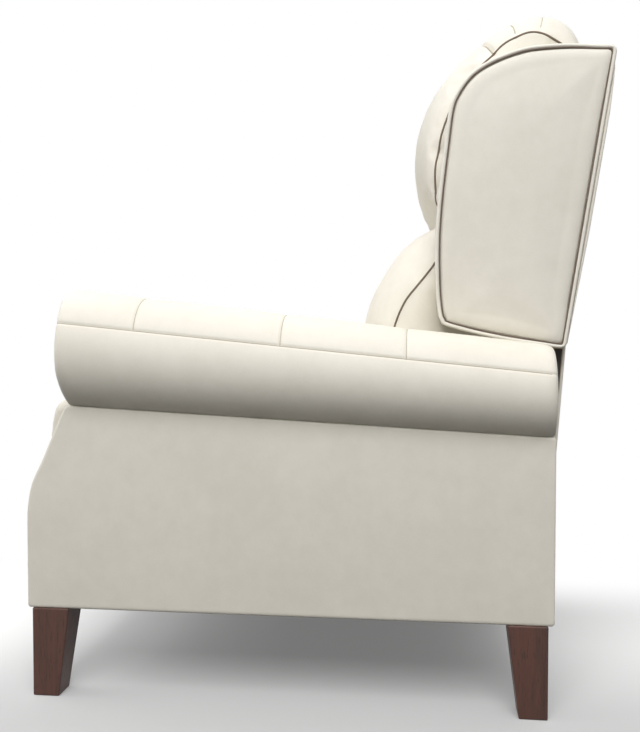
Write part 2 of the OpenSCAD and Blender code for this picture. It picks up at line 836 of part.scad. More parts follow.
module back_frame() {
  d0 = back_skin;
  d1 = back_skin + back_deep;
  color([0.70, 0.55, 0.36]) {
    for (s = [0, 1])
      mirror([s, 0, 0])
        slab(back_half - member, back_half) back2d(back_low, frame_top, d0, d1);
    for (z = [back_low, back_step - 10, frame_top - member])
      slab(-back_half + member - 0.01, back_half - member + 0.01) back2d(z, z + member, d0, d1);
  }
}

module back_springs() {
  span = 2 * (back_half - member);
  z0 = back_step - 10 + member + 1.5;
  z1 = frame_top - member - wire / 2;
  count = back_spring_count;
  lean = atan2(back_u(z1) - back_u(z0), z1 - z0);
  color([0.45, 0.45, 0.47])
    for (i = [0:count - 1])
      translate([(i - (count - 1) / 2) * span / count, back_u(z0) - back_skin - back_deep / 2, z0])
        rotate([90 - lean, 0, 0])
          linear_extrude(height = wire)
            wave2d(1, (z1 - z0) / cos(lean) - 6);
}

wing_rear = [for (d = [568, 640, 770, 880, 966])
  let (z = drawn_z(d)) [back_u(z) - back_skin - wing_gap, z]];
wing_outline = concat(drawn([[818, 545.5], [823, 551]]), wing_rear,
  drawn([[892.3, 988], [891.6, 996], [886.5, 1000.5], [870, 1001.5], [840, 1004], [806, 1005],
    [762, 1002.5], [724, 992], [695, 979], [673, 963], [655, 939], [644, 912], [636, 850], [628, 780],
    [623.5, 710], [624.5, 640], [628.5, 600], [632.5, 588], [641, 579.5], [690, 566], [740, 556],
    [790, 548.2], [810, 545.2]]));

module wing() {
  full = curve(wing_outline, 2);
  face = inset(full, 2 * welt_r + 3);
  color([0.90, 0.88, 0.83])
    skin([at_x(wing_in, inset(full, 2)), at_x(wing_in + 4, full), at_x(wing_bed, full),
      at_x(wing_bed, face), at_x(wing_bed + 5, face), at_x(wing_out - 3, inset(full, 2 * welt_r + 9)),
      at_x(wing_out - 1, shrink(full, 0.72)), at_x(wing_out, shrink(full, 0.4))]);
}

module wing_welt() {
  path = inset(curve(wing_outline, 2), welt_r);
  n = len(path);
  k = 6;
  x = wing_bed + welt_r * cos(180 / k) + seat_gap;
  pts = [for (i = [0:n - 1]) let (v = inward(path, i)) for (j = [0:k - 1])
    let (a = 360 * j / k, q = path[i] + welt_r * cos(a) * v) [x + welt_r * sin(a), q[0], q[1]]];
  faces = [for (i = [0:n - 1]) for (j = [0:k - 1])
    let (a = i * k + j, b = i * k + (j + 1) % k, next = ((i + 1) % n) * k,
      c = next + (j + 1) % k, d = next + j)
    each [[a, b, c], [a, c, d]]];
  polyhedron(points = pts, faces = faces);
}

module wing_welts() {
  color([0.95, 0.93, 0.89]) {
    wing_welt();
    mirror([1, 0, 0]) wing_welt();
  }
}

// Outlines of the pillows at the middle and at the side seam
head_mid = drawn([[638, 758], [700, 757], [798, 768], [818, 880], [835, 988], [866, 997], [865, 1030],
  [847, 1074], [821, 1093], [785, 1098], [740, 1084], [697, 1053], [660, 1022], [624, 981], [602, 936],
  [590, 887], [595, 836], [613, 788]]);
head_seam = drawn([[632, 759], [710, 760], [796, 770], [812, 880], [826, 970], [838, 990], [841, 1004],
  [833, 1015], [812, 1026], [785, 1039], [745, 1034], [711, 1010], [680, 975], [656, 935], [640, 900],
  [629, 866], [621, 830], [620, 785]]);
lumbar_mid = drawn([[528, 500], [590, 491], [690, 491], [748, 494], [754, 530], [768, 640], [786, 742],
  [740, 752], [665, 753], [628, 751], [593, 735], [560, 706], [529.5, 660], [509.5, 616], [502.5, 570],
  [509.5, 528]]);
lumbar_seam = drawn([[572, 510], [616, 500], [690, 495], [742, 498], [752, 532], [766, 640], [784, 736],
  [745, 745], [690, 746], [645, 738], [625, 695], [606, 662], [584, 634], [568, 602], [559, 568],
  [561, 532]]);

// A stuffed pillow from its middle outline to its side seam
module pillow(mid, seam, half, power) {
  cuts = [[1, 6], [0.985, 2], [0.955, 0], [0.88, 0], [0.74, 0], [0.52, 0], [0.26, 0], [0, 0]];
  half_rings = [for (c = cuts)
    let (f = pow(c[0], power), p = [for (i = [0:len(mid) - 1]) lerp(mid[i], seam[i], f)])
      at_x(-half * c[0], inset(curve(p, 2), c[1]))];
  other = [for (i = [len(half_rings) - 2:-1:0]) [for (p = half_rings[i]) [-p[0], p[1], p[2]]]];
  skin(concat(half_rings, other));
}

module head_pillow() {
  color([0.95, 0.93, 0.89]) pillow(head_mid, head_seam, pillow_half, pillow_square);
}

module lumbar_pillow() {
  color([0.95, 0.93, 0.89]) pillow(lumbar_mid, lumbar_seam, pillow_half, pillow_square);
}

module back_brackets() {
  color([0.24, 0.24, 0.25])
    for (s = [0, 1])
      mirror([s, 0, 0])
        slab(back_half, back_half + plate_t)
          difference() {
            union() {
              bar2d([hinge_u, hinge_z], [hinge_u, back_low + 20], swing_half + 4);
              back2d(back_low + 4, back_low + 100, back_skin + 6, back_skin + back_deep - 6);
            }
            dot([hinge_u, hinge_z], hole_r);
          }
}

place() leg(true);  // leg_front_left
place() right_side() leg(true);  // leg_front_right
place() leg(false);  // leg_rear_left
place() right_side() leg(false);  // leg_rear_right
place() leg_bolts();
place() outer_side();  // outer_side_left
place() right_side() outer_side();  // outer_side_right
place() inner_side();  // inner_side_left
place() right_side() inner_side();  // inner_side_right
place() side_frame();  // side_frame_left
place() right_side() side_frame();  // side_frame_right
place() front_band();  // front_band_left
place() right_side() front_band();  // front_band_right
place() rear_band();  // rear_band_left
place() right_side() rear_band();  // rear_band_right
place() arm_roll();  // arm_roll_left
place() right_side() arm_roll();  // arm_roll_right
place() rear_rail();
place() base_plate();  // base_plate_left
place() right_side() base_plate();  // base_plate_right
place() cross_tubes();
place() base_rivets();
place() mechanism_screws();
place() seat_plate();  // seat_plate_left
place() right_side() seat_plate();  // seat_plate_right
place() seat_frame();
place() seat_springs();
place() seat_deck();
place() seat_cushion();
place() seat_rivets();
place() swing(swing_front);  // swing_front_left
place() right_side() swing(swing_front);  // swing_front_right
place() swing(swing_rear);  // swing_rear_left
place() right_side() swing(swing_rear);  // swing_rear_right
place() crank_front();  // crank_front_left
place() right_side() crank_front();  // crank_front_right
place() drive_tube();
place() crank_rivets();
place() crank_rear();  // crank_rear_left
place() right_side() crank_rear();  // crank_rear_right
place() rear_crank_rivets();
place() reach_link();  // reach_link_left
place() right_side() reach_link();  // reach_link_right
place() stay_link();  // stay_link_left
place() right_side() stay_link();  // stay_link_right
place() footrest_bracket();  // footrest_bracket_left
place() right_side() footrest_bracket();  // footrest_bracket_right
place() footrest_board();
place() footrest_pad();
place() footrest_rivets();
place() back_frame();
place() back_springs();
place() outside_back();
place() wing();  // wing_left
place() right_side() wing();  // wing_right
place() wing_welts();
place() head_pillow();
place() lumbar_pillow();
place() back_brackets();
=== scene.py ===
# %% [markdown]
# # Dressing a high leg recliner
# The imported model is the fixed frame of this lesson. It gives every piece its place and its motion.
# Here each soft piece gets its stuffing, seams and leather, and each hard piece gets its own finish.
# Lengths are metres: the floor is at zero height, +X is the sitter's left and -Y is the front.

# %% Load the fixed frame
import json
import math

import bmesh
import bpy
import numpy as np
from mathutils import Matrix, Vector
from mathutils.bvhtree import BVHTree


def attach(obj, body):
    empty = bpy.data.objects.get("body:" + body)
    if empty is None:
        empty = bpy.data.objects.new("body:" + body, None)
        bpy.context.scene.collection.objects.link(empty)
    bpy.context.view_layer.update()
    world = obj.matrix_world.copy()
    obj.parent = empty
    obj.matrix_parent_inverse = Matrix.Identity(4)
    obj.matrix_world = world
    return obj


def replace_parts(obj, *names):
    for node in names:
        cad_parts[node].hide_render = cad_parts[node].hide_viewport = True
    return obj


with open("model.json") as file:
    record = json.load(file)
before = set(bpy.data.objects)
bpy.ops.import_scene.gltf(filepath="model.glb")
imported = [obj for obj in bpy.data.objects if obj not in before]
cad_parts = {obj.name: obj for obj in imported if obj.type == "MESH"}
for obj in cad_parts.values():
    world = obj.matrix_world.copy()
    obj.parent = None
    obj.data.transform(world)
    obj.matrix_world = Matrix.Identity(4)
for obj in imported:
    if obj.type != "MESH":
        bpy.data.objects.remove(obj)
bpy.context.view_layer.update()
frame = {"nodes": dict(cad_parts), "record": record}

# %% [markdown]
# ## Camera
# The photograph was solved as a plain camera at about the height of the chair's arms. It looks
# across the chair from its left side and a little from behind. A camera needs a place, a lens and
# a direction, and a direction turns into a rotation with to_track_quat.

# %% Camera
PHOTO_HEIGHT = 732
FOCAL_PIXELS = 884
SENSOR = 36
CAMERA_PLACE = Vector((1.674, 0.167, 0.565))
CAMERA_YAW = math.radians(6.78)
CAMERA_PITCH = math.radians(1.99)
scene = bpy.context.scene


def placed(name, data):
    """A new object in the scene that carries some data."""
    made = bpy.data.objects.new(name, data)
    scene.collection.objects.link(made)
    return made


lens = bpy.data.cameras.new("studio_camera")
lens.sensor_width = SENSOR
lens.lens = SENSOR * FOCAL_PIXELS / PHOTO_HEIGHT
camera = placed("studio_camera", lens)
level = math.cos(CAMERA_PITCH)
look = Vector((-math.cos(CAMERA_YAW) * level, -math.sin(CAMERA_YAW) * level, -math.sin(CAMERA_PITCH)))
camera.location = CAMERA_PLACE
camera.rotation_euler = look.to_track_quat("-Z", "Y").to_euler()
scene.camera = camera
scene.view_settings.view_transform = "Standard"
print("lens", round(lens.lens, 2), "mm")

# %% [markdown]
# ## Finishes as expressions
# A finish is a tree of nodes. Wiring each node by hand hides the idea, so a small class stands for
# one value of the tree and lets plain arithmetic add the Math nodes. Every other kind of node comes
# from one method that sets the node's own settings first and its sockets after them.

# %% Values of a finish
class Value:
    """One output of a finish's node tree, for use in plain expressions."""

    def __init__(self, finish, socket):
        self.finish = finish
        self.socket = socket

    def math(self, operation, a, b):
        return self.finish.node("ShaderNodeMath", {"operation": operation}, {0: a, 1: b})

    def __add__(self, other):
        return self.math("ADD", self, other)

    def __sub__(self, other):
        return self.math("SUBTRACT", self, other)

    def __rsub__(self, other):
        return self.math("SUBTRACT", other, self)

    def __mul__(self, other):
        return self.math("MULTIPLY", self, other)

    __radd__ = __add__


class Finish:
    """A material, or the world, and the nodes that it is made of."""

    def __init__(self, name, kinds=bpy.data.materials):
        self.owner = kinds.new(name)
        self.owner.use_nodes = True
        self.tree = self.owner.node_tree
        self.tree.nodes.clear()

    def node(self, kind, settings=None, sockets=None, output=0):
        made = self.tree.nodes.new(kind)
        for key, value in (settings or {}).items():
            setattr(made, key, value)
        for key, value in (sockets or {}).items():
            if isinstance(value, Value):
                self.tree.links.new(value.socket, made.inputs[key])
            else:
                made.inputs[key].default_value = value
        return Value(self, made.outputs[output])

    def place(self, scale=(1, 1, 1)):
        where = self.node("ShaderNodeTexCoord", output="Object")
        return self.node("ShaderNodeMapping", sockets={"Vector": where, "Scale": scale})

    def noise(self, where, scale, detail=3.0, roughness=0.5, distortion=0.0):
        return self.node("ShaderNodeTexNoise", sockets={
            "Vector": where, "Scale": scale, "Detail": detail, "Roughness": roughness,
            "Distortion": distortion})

    def between(self, value, low, high):
        return self.node("ShaderNodeMapRange", {"interpolation_type": "SMOOTHSTEP"}, {
            "Value": value, "From Min": low, "From Max": high})

    def blend(self, amount, a, b):
        settings = {"data_type": "RGBA", "blend_type": "MIX"}
        return self.node("ShaderNodeMix", settings, {"Factor": amount, 6: a, 7: b}, output=2)

    def bump(self, height, distance, strength=1.0, under=None):
        sockets = {"Height": height, "Distance": distance, "Strength": strength}
        if under is not None:
            sockets["Normal"] = under
        return self.node("ShaderNodeBump", sockets=sockets)

    def shade(self, **sockets):
        named = {key.replace("_", " "): value for key, value in sockets.items()}
        return self.surface(self.node("ShaderNodeBsdfPrincipled", sockets=named))

    def surface(self, shader, output="ShaderNodeOutputMaterial"):
        self.tree.links.new(shader.socket, self.tree.nodes.new(output).inputs["Surface"])
        return self.owner


def srgb(r, g, b):
    """A colour written as it looks on screen, 0 to 255, as the renderer's own values."""
    parts = [v / 255 for v in (r, g, b)]
    return tuple(v / 12.92 if v <= 0.04045 else ((v + 0.055) / 1.055) ** 2.4 for v in parts) + (1,)


print("ready to mix finishes")

# %% [markdown]
# ## Leather
# Corrected-grain leather is a nearly even off-white with a fine pebble: small rounded cells about a
# millimetre and a half wide, with shallow creases between them, over long soft waves from the hide. The
# cells come from a Voronoi texture's distance to the edge, and a texture's scale counts its cells to the
# metre. The tone drifts only a little from place to place. Creases hold less shine, and their colour is
# darkened a touch as painted shade; the tops of the pebbles are rubbed smoother.

# %% Leather
def leather(name, light, deep, pebble=0.00007, gloss=0.45):
    finish = Finish(name)
    where = finish.place()
    warp = finish.noise(where, 240.0, 2.0)
    cells = finish.node("ShaderNodeTexVoronoi", {"feature": "DISTANCE_TO_EDGE"}, {
        "Vector": where, "Scale": 720.0, "Randomness": 0.9})
    crease = finish.between(cells, 0.0, 0.22)
    hide = finish.noise(where, 7.0, 4.0, 0.55)
    patches = finish.noise(where, 38.0, 3.0, 0.6)
    drift = hide * 0.6 + patches * 0.4
    tone = finish.blend(finish.between(drift, 0.3, 0.7), deep, light)
    # painted shade: the colour darkens in the creases between the pebbles
    crease_shaded_tone = finish.blend((1 - crease) * 0.10, tone, tuple(c * 0.72 for c in deep[:3]) + (1,))
    waves = finish.bump(hide * 0.7 + patches * 0.3, 0.0011, 0.35)
    grain = finish.bump(crease * 0.8 + warp * 0.35, pebble, 0.8, waves)
    shine = (1 - crease) * 0.10 + patches * 0.10 + gloss
    return finish.shade(Base_Color=crease_shaded_tone, Roughness=shine, Normal=grain, Specular_IOR_Level=0.35)


cover_leather = leather("cover_leather", srgb(236, 231, 219), srgb(228, 223, 210))
welt_leather = leather("welt_leather", srgb(238, 234, 223), srgb(229, 224, 212), 0.00005, 0.41)
print("leathers", cover_leather.name, welt_leather.name)

# %% [markdown]
# ## Seam thread
# Seams show as fine dark brown lines. A real one is a tight valley with thread at the bottom, so each
# seam here is a thin twisted thread laid in a valley of the cover. Its dark colour is partly the thread's
# own and partly painted shade of the valley; the pale thread is a darkened leather tone, painted shade of
# a self-shadowed seam. The twist is a wave texture.

# %% Thread
def thread_finish(name, light, deep):
    finish = Finish(name)
    where = finish.place()
    twist = finish.node("ShaderNodeTexWave", {"wave_type": "BANDS", "bands_direction": "DIAGONAL"}, {
        "Vector": where, "Scale": 420.0, "Distortion": 1.5, "Detail": 1.0})
    fibre = finish.noise(where, 900.0, 2.0)
    tone = finish.blend(twist * 0.6 + fibre * 0.4, deep, light)
    relief = finish.bump(twist, 0.0002, 0.6)
    return finish.shade(Base_Color=tone, Roughness=fibre * 0.15 + 0.65, Normal=relief)


# painted shade: both threads are coloured darker than a thread alone, to stand for the seam valley's shade
seam_thread_and_shade = thread_finish("seam_thread_and_shade", srgb(128, 112, 96), srgb(92, 78, 66))
pale_thread_and_shade = thread_finish("pale_thread_and_shade", srgb(196, 188, 172), srgb(166, 157, 141))
print("threads", seam_thread_and_shade.name, pale_thread_and_shade.name)

# %% [markdown]
# ## Wood
# The legs are stained almost to the brown of walnut. Wood grain runs along the leg: long streaks made by
# stretching a noise along the height, with fine dark pores that are stretched much further, under a
# satin varnish. The frame wood inside is plain pine, with the streaks along its own members.

# %% Wood
def wood(name, light, deep, pore, stretch, coat, gloss):
    finish = Finish(name)
    where = finish.place(stretch)
    rings = finish.noise(where, 34.0, 4.0, 0.6, 0.6)
    streaks = finish.noise(where, 150.0, 3.0, 0.6)
    pores = finish.between(finish.noise(where, 520.0, 2.0, 0.5), 0.56, 0.72)
    tone = finish.blend(finish.between(rings * 0.7 + streaks * 0.3, 0.35, 0.65), deep, light)
    pored = finish.blend(pores * 0.55, tone, pore)
    relief = finish.bump(streaks * 0.3 - pores * 0.7, 0.00018, 0.6)
    return finish.shade(Base_Color=pored, Roughness=streaks * 0.12 + pores * 0.1 + gloss, Coat_Weight=coat,
                        Coat_Roughness=0.25, Normal=relief)


leg_wood = wood("leg_wood", srgb(88, 54, 42), srgb(60, 36, 28), srgb(36, 20, 15), (1, 1, 0.09), 0.12, 0.42)
frame_wood = wood("frame_wood", srgb(206, 170, 120), srgb(178, 140, 92), srgb(140, 104, 66), (1, 0.08, 1),
                  0.0, 0.6)
print("woods", leg_wood.name, frame_wood.name)

# %% [markdown]
# ## Metal
# The mechanism is stamped steel under black paint, with a slight orange-peel skin and a few rubbed
# places. Rivets, bolts and screws are zinc plated, with a blotchy pale grey, and the springs are bare
# drawn wire with an oily dark tone.

# %% Metal
def painted_steel(name, light, deep):
    finish = Finish(name)
    where = finish.place()
    peel = finish.noise(where, 420.0, 2.0)
    rub = finish.between(finish.noise(where, 60.0, 5.0, 0.65), 0.62, 0.74)
    tone = finish.blend(rub * 0.5, deep, light)
    return finish.shade(Base_Color=tone, Roughness=peel * 0.12 + rub * 0.12 + 0.34,
                        Normal=finish.bump(peel, 0.0001, 0.5), Coat_Weight=0.15, Coat_Roughness=0.3)


def bare_steel(name, light, deep, gloss):
    finish = Finish(name)
    where = finish.place()
    blotch = finish.noise(where, 130.0, 4.0, 0.6)
    fine = finish.noise(where, 900.0, 2.0)
    tone = finish.blend(finish.between(blotch, 0.35, 0.65), deep, light)
    return finish.shade(Base_Color=tone, Metallic=1.0, Roughness=blotch * 0.2 + fine * 0.08 + gloss,
                        Normal=finish.bump(fine, 0.00004, 0.5))


black_steel = painted_steel("black_steel", srgb(74, 74, 76), srgb(38, 38, 40))
zinc_steel = bare_steel("zinc_steel", srgb(206, 206, 204), srgb(176, 177, 178), 0.24)
spring_steel = bare_steel("spring_steel", srgb(142, 140, 138), srgb(98, 96, 94), 0.30)
print("metals", black_steel.name, zinc_steel.name, spring_steel.name)

# %% [markdown]
# ## Deck cloth
# The deck under the cushion is a dark woven cloth. Two wave textures at right angles make over-and-under
# threads about a millimetre and a half apart.

# %% Deck cloth
def weave(name, light, deep, threads):
    finish = Finish(name)
    where = finish.place()
    lines = [finish.node("ShaderNodeTexWave", {"bands_direction": way}, {"Vector": where, "Scale": threads})
             for way in ("X", "Y")]
    fuzz = finish.noise(where, 700.0, 3.0)
    over = lines[0] * lines[1]
    tone = finish.blend(over * 0.6 + fuzz * 0.4, deep, light)
    return finish.shade(Base_Color=tone, Roughness=fuzz * 0.1 + 0.85, Normal=finish.bump(over, 0.0004, 0.7))


deck_cloth = weave("deck_cloth", srgb(96, 92, 88), srgb(58, 55, 53), 110.0)
print("cloth", deck_cloth.name)

# %% [markdown]
# ## Skins from rings
# Stuffed and bent pieces are easiest to think of as rings of points one after another. A grid of faces
# from create_grid is wrapped onto the rings, its two open sides are welded, and both ends are closed.
# Extruding ring by ring would give the same faces, but the grid keeps the counting in one place.

# %% Rings and lines
MM = 0.001
MID_DEPTH = 442.0


def at(x, u, z):
    """A place in millimetres across, behind the front legs' front face, and up, as a point in metres."""
    return Vector((x * MM, (u - MID_DEPTH) * MM, z * MM))


def smooth_loop(points, steps):
    """A closed smooth curve through points, with so many steps from each to the next."""
    b = np.array(points, float)
    a, c, d = np.roll(b, 1, 0), np.roll(b, -1, 0), np.roll(b, -2, 0)
    rows = []
    for k in range(steps):
        t = k / steps
        rows.append(0.5 * (2 * b + (c - a) * t + (2 * a - 5 * b + 4 * c - d) * t * t
                           + (3 * b - a - 3 * c + d) * t ** 3))
    return np.stack(rows, axis=1).reshape(-1, b.shape[1])


def even_line(points, count):
    """The same closed line, with count points evenly spaced along it."""
    p = np.array(points, float)
    p = np.vstack([p, p[:1]])
    run = np.r_[0, np.cumsum(np.linalg.norm(np.diff(p, axis=0), axis=1))]
    stops = np.linspace(0, run[-1], count, endpoint=False)
    return np.stack([np.interp(stops, run, p[:, k]) for k in range(p.shape[1])], axis=1)


def skin(rings, ends="pole"):
    """Wraps a grid of faces onto closed rings of points. The ends gather to a pole, are filled flat, or
    meet because the last rings lie on a line."""
    rings = [np.array([tuple(p) for p in r]) for r in rings]
    if ends == "pole":
        near, far = (np.tile(r.mean(0), (len(r), 1)) for r in (rings[0], rings[-1]))
        rings = [near] + rings + [far]
    around, rows = len(rings[0]), len(rings)
    mesh = bmesh.new()
    bmesh.ops.create_grid(mesh, x_segments=around, y_segments=rows - 1, size=0.5)
    for v in mesh.verts:
        v.co = rings[round((v.co.y + 0.5) * (rows - 1))][round((v.co.x + 0.5) * around) % around]
    bmesh.ops.remove_doubles(mesh, verts=mesh.verts, dist=1e-7)
    if ends == "fill":
        filled = bmesh.ops.holes_fill(mesh, edges=[e for e in mesh.edges if e.is_boundary], sides=0)
        bmesh.ops.triangulate(mesh, faces=filled["faces"])
    bmesh.ops.recalc_face_normals(mesh, faces=mesh.faces)
    return mesh


def data_of(mesh, name):
    """The mesh data of a bmesh, which is freed."""
    data = bpy.data.meshes.new(name)
    mesh.to_mesh(data)
    mesh.free()
    return data


def piece(name, mesh, body, finish, slot, smooth=True):
    """A finished object that rides on a body, from a bmesh or from mesh data."""
    data = data_of(mesh, name) if isinstance(mesh, bmesh.types.BMesh) else mesh
    data.name = name
    data.polygons.foreach_set("use_smooth", [smooth] * len(data.polygons))
    data.materials.clear()
    data.materials.append(finish)
    made = placed(name, data)
    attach(made, body)
    return made


def body_of(node):
    bodies = frame["record"]["behaviour"]["bodies"]
    return next(b for b, nodes in bodies.items() if node in nodes)


def cover(name, mesh, node, finish=cover_leather, slot="upholstery"):
    """A padded piece that takes a soft node's place and rides on its body."""
    made = piece(name, mesh, body_of(node), finish, slot)
    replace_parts(made, node)
    print(name, len(made.data.vertices), "points")
    return made


def taken(thing):
    """The mesh that an object's data and modifiers give. The object itself goes."""
    graph = bpy.context.evaluated_depsgraph_get()
    mesh = bpy.data.meshes.new_from_object(thing.evaluated_get(graph))
    bpy.data.objects.remove(thing)
    return mesh


print("rings ready")

# %% [markdown]
# ## Cords and threads along a line
# A welt is a cord wrapped in leather and a seam is a sunken thread. Both are a round section swept along
# a line. A curve object with a bevel depth sweeps it, and its mesh is kept.

# %% Swept lines
def swept(points, radius, closed):
    curve = bpy.data.curves.new("line", "CURVE")
    curve.dimensions = "3D"
    curve.bevel_depth = radius
    curve.bevel_resolution = 2
    curve.use_fill_caps = True
    spline = curve.splines.new("POLY")
    spline.points.add(len(points) - 1)
    spline.points.foreach_set("co", [c for p in points for c in (*p, 1.0)])
    spline.use_cyclic_u = closed
    return taken(placed("line", curve))


def trim(name, lines, body, finish):
    """One piece of several swept lines, each a list of points, a radius and whether it closes."""
    whole = bmesh.new()
    for points, radius, closed in lines:
        whole.from_mesh(swept(points, radius, closed))
    bmesh.ops.recalc_face_normals(whole, faces=whole.faces)
    return piece(name, whole, body, finish, "upholstery")


def run_length(points):
    p = np.array([tuple(q) for q in points])
    return float(np.linalg.norm(np.diff(p, axis=0), axis=1).sum())


print("swept lines ready")

# %% [markdown]
# ## Stuffed panels
# An upholstered side or wing is a board with a thin pad under tight leather. Its face rises fast from
# the edge, rounds over and crowns gently to the middle. Insetting the outline by its normals would
# fold at the corners, so each outline point walks towards the nearest place of a spine in the middle.

# %% Stuffed panels
SPINE_STEP, DEEPEST, ROUNDNESS, RING_STEP = 2.2, 0.9, 2.4, 8.0
BACK_MARGIN, BACK_BEVEL, FACE_START = 4.0, 1.2, -0.5
EDGE_RINGS = (0.0, 0.04, 0.1, 0.18, 0.28, 0.4, 0.54, 0.7, 0.86, 1.0)


def to_spine(outline, start, end):
    """The nearest place of the spine for each outline point, in even steps so that both sides meet."""
    start, end = np.array(start, float), np.array(end, float)
    along = end - start
    spacing = np.linalg.norm(outline[1] - outline[0])
    steps = int(np.linalg.norm(along) / (SPINE_STEP * spacing))
    share = np.round(np.clip((outline - start) @ along / (along @ along), 0, 1) * steps) / steps
    return start + share[:, None] * along


def panel(outline, spine, place, back, edge, rise, crown, inset=0.0):
    """A padded panel. place(flat, height) makes points in metres, and heights start at back."""
    inner = to_spine(outline, *spine)
    reach = np.linalg.norm(outline - inner, axis=1)[:, None]

    def ring(distance, share, height):
        f = np.minimum(distance / reach, DEEPEST)
        return [place(p, height) for p in outline + (f + (1 - f) * share) * (inner - outline)]

    rings = [ring(BACK_MARGIN, share, back) for share in (1.0, 0.5, 0.0)]
    rings += [ring(inset + 1.0, 0, back), ring(inset, 0, back + BACK_BEVEL), ring(inset, 0, FACE_START)]
    for d in EDGE_RINGS:
        rings.append(ring(inset + d * edge, 0, rise * (1 - (1 - d) ** ROUNDNESS) ** (1 / ROUNDNESS)))
    count = int(np.max(reach) // RING_STEP) + 1
    for k in range(1, count + 1):
        rings.append(ring(inset + edge, k / count, rise + crown * (1 - (1 - k / count) ** 2)))
    return skin(rings, "meet")


print("panels ready")

# %% [markdown]
# ## The wings
# Each wing is a stuffed panel with a corded welt all round, and a fine dark seam between the cord and
# the face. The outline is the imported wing's own smooth line, so that it lies exactly on its solid.

# %% Wings
SIDES = ((1, "left"), (-1, "right"))
BACK_STATIONS = [(345, 813), (394, 817), (552, 829), (989, 898)]
BACK_SKIN, WING_GAP = 5.0, 0.6
WING_IN, WING_BED, WELT = 249.3, 288.0, 3.25
WING_RISE, WING_CROWN, WING_EDGE = 8.5, 4.2, 26.0
WING_SPINE = ((742, 660), (762, 880))
CASE_RINGS = ((WING_IN, 3.0), (WING_IN + 1.5, 1.0), (WING_IN + 4, 0.4), (WING_BED - 2, 0.4), (WING_BED, 1.5),
              (WING_BED + 0.6, 9.0))


def back_face(z):
    heights, places = zip(*BACK_STATIONS)
    return float(np.interp(z, heights, places))


wing_points = [(818, 545.5), (823, 551)]
wing_points += [(back_face(z) - BACK_SKIN - WING_GAP, z) for z in (568, 640, 770, 880, 966)]
wing_points += [(892.3, 988), (891.6, 996), (886.5, 1000.5), (870, 1001.5), (840, 1004), (806, 1005),
                (762, 1002.5), (724, 992), (695, 979), (673, 963), (655, 939), (644, 912), (636, 850),
                (628, 780), (623.5, 710), (624.5, 640), (628.5, 600), (632.5, 588), (641, 579.5), (690, 566),
                (740, 556), (790, 548.2), (810, 545.2)]
wing_line = even_line(smooth_loop(wing_points, 8), 420)


def inward(line, d):
    """A closed flat line drawn in by a short distance."""
    t = np.roll(line, -1, 0) - np.roll(line, 1, 0)
    t = t / np.linalg.norm(t, axis=1)[:, None]
    return line + d * np.stack([-t[:, 1], t[:, 0]], axis=1)


for side, name in SIDES:
    face = panel(wing_line, WING_SPINE, lambda p, h: at(side * (WING_BED + h), *p), WING_IN - WING_BED,
                 WING_EDGE, WING_RISE, WING_CROWN, 2 * WELT + 1.0)
    cover(f"wing_cover_{name}", face, f"wing_{name}")
    case = skin([[at(side * x, *p) for p in inward(wing_line, d)] for x, d in CASE_RINGS], "fill")
    piece(f"wing_case_{name}", case, "back", cover_leather, "upholstery")

# %% [markdown]
# The cord stands on the board's edge and the dark seam lies just inside it, half sunk beside the face. Its
# dark thread also stands as painted shade in the valley between the cord and the face.

# %% Wing welts and seams
CORD_OUT, SEAM_OUT, SEAM_IN, SEAM_THICK = 2.9, 5.0, 0.5, 1.05


def wing_lines(out, d, radius):
    return [([at(side * (WING_BED + out), *p) for p in inward(wing_line, d)], radius * MM, True)
            for side, _ in SIDES]


cords = wing_lines(CORD_OUT, WELT, WELT)
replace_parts(trim("wing_welt_cords", cords, "back", welt_leather), "wing_welts")
# painted shade: the dark thread fills the valley beside the cord
trim("wing_seams", wing_lines(SEAM_OUT, 2 * WELT + SEAM_IN, SEAM_THICK), "back", seam_thread_and_shade)
print("welt length", round(run_length(cords[0][0]), 3))

# %% [markdown]
# ## The arm rolls
# An arm is a long roll of fibre and foam over the frame. Its top panel is sewn along the outer shoulder
# and crossed by three seams that pull it in, and it falls to the rear. It is modelled directly, ring by
# ring, because its cover is pulled tight and its seams have to stay crisp.

# %% Arm rolls
ROLL_START, ROLL_END = 47.0, 798.0
CROSS_SEAMS = (174.5, 397.0, 582.0)
ROLL_TOP, ROLL_OUT, ROLL_IN = (628, 546), (406, 397), (246, 262)
CROWN, SHOULDER = (10.5, 4.5), (32.0, 28.5)
PLUMP, SLACK = 1.2, 0.8
SIDE_OUT, SIDE_IN = 366.0, 258.0
UNDER, UNDER_START, REAR_U = (457.0, 417.0), 58, 799.0


def lerp(a, b, t):
    return a + (b - a) * t


def ramp(value, start, end):
    """None up to start and one from end on, and an even rise between them."""
    return min(1.0, max(0.0, (value - start) / (end - start)))


def dip(distance, width):
    """A rounded valley: one in its middle and nothing well outside its width."""
    return math.exp(-(distance / width) ** 2)


def under(u):
    return lerp(*UNDER, (u - UNDER_START) / (REAR_U - UNDER_START))


def stuffing(u, t):
    """How far the top stands over its plain round, which is most in the middle between two seams."""
    edges = (ROLL_START,) + CROSS_SEAMS + (ROLL_END,)
    cell = next((u - a) / (b - a) for a, b in zip(edges, edges[1:]) if u <= b + 1e-6)
    return lerp(*CROWN, t) + PLUMP * max(0.0, math.sin(math.pi * cell)) ** 0.7 - SLACK


# %% [markdown]
# The front face of the roll leans back below on its outer half, as the photograph shows. One ring has
# many points where the shoulder seam sinks in, and fewer over the round and along the flat underside.

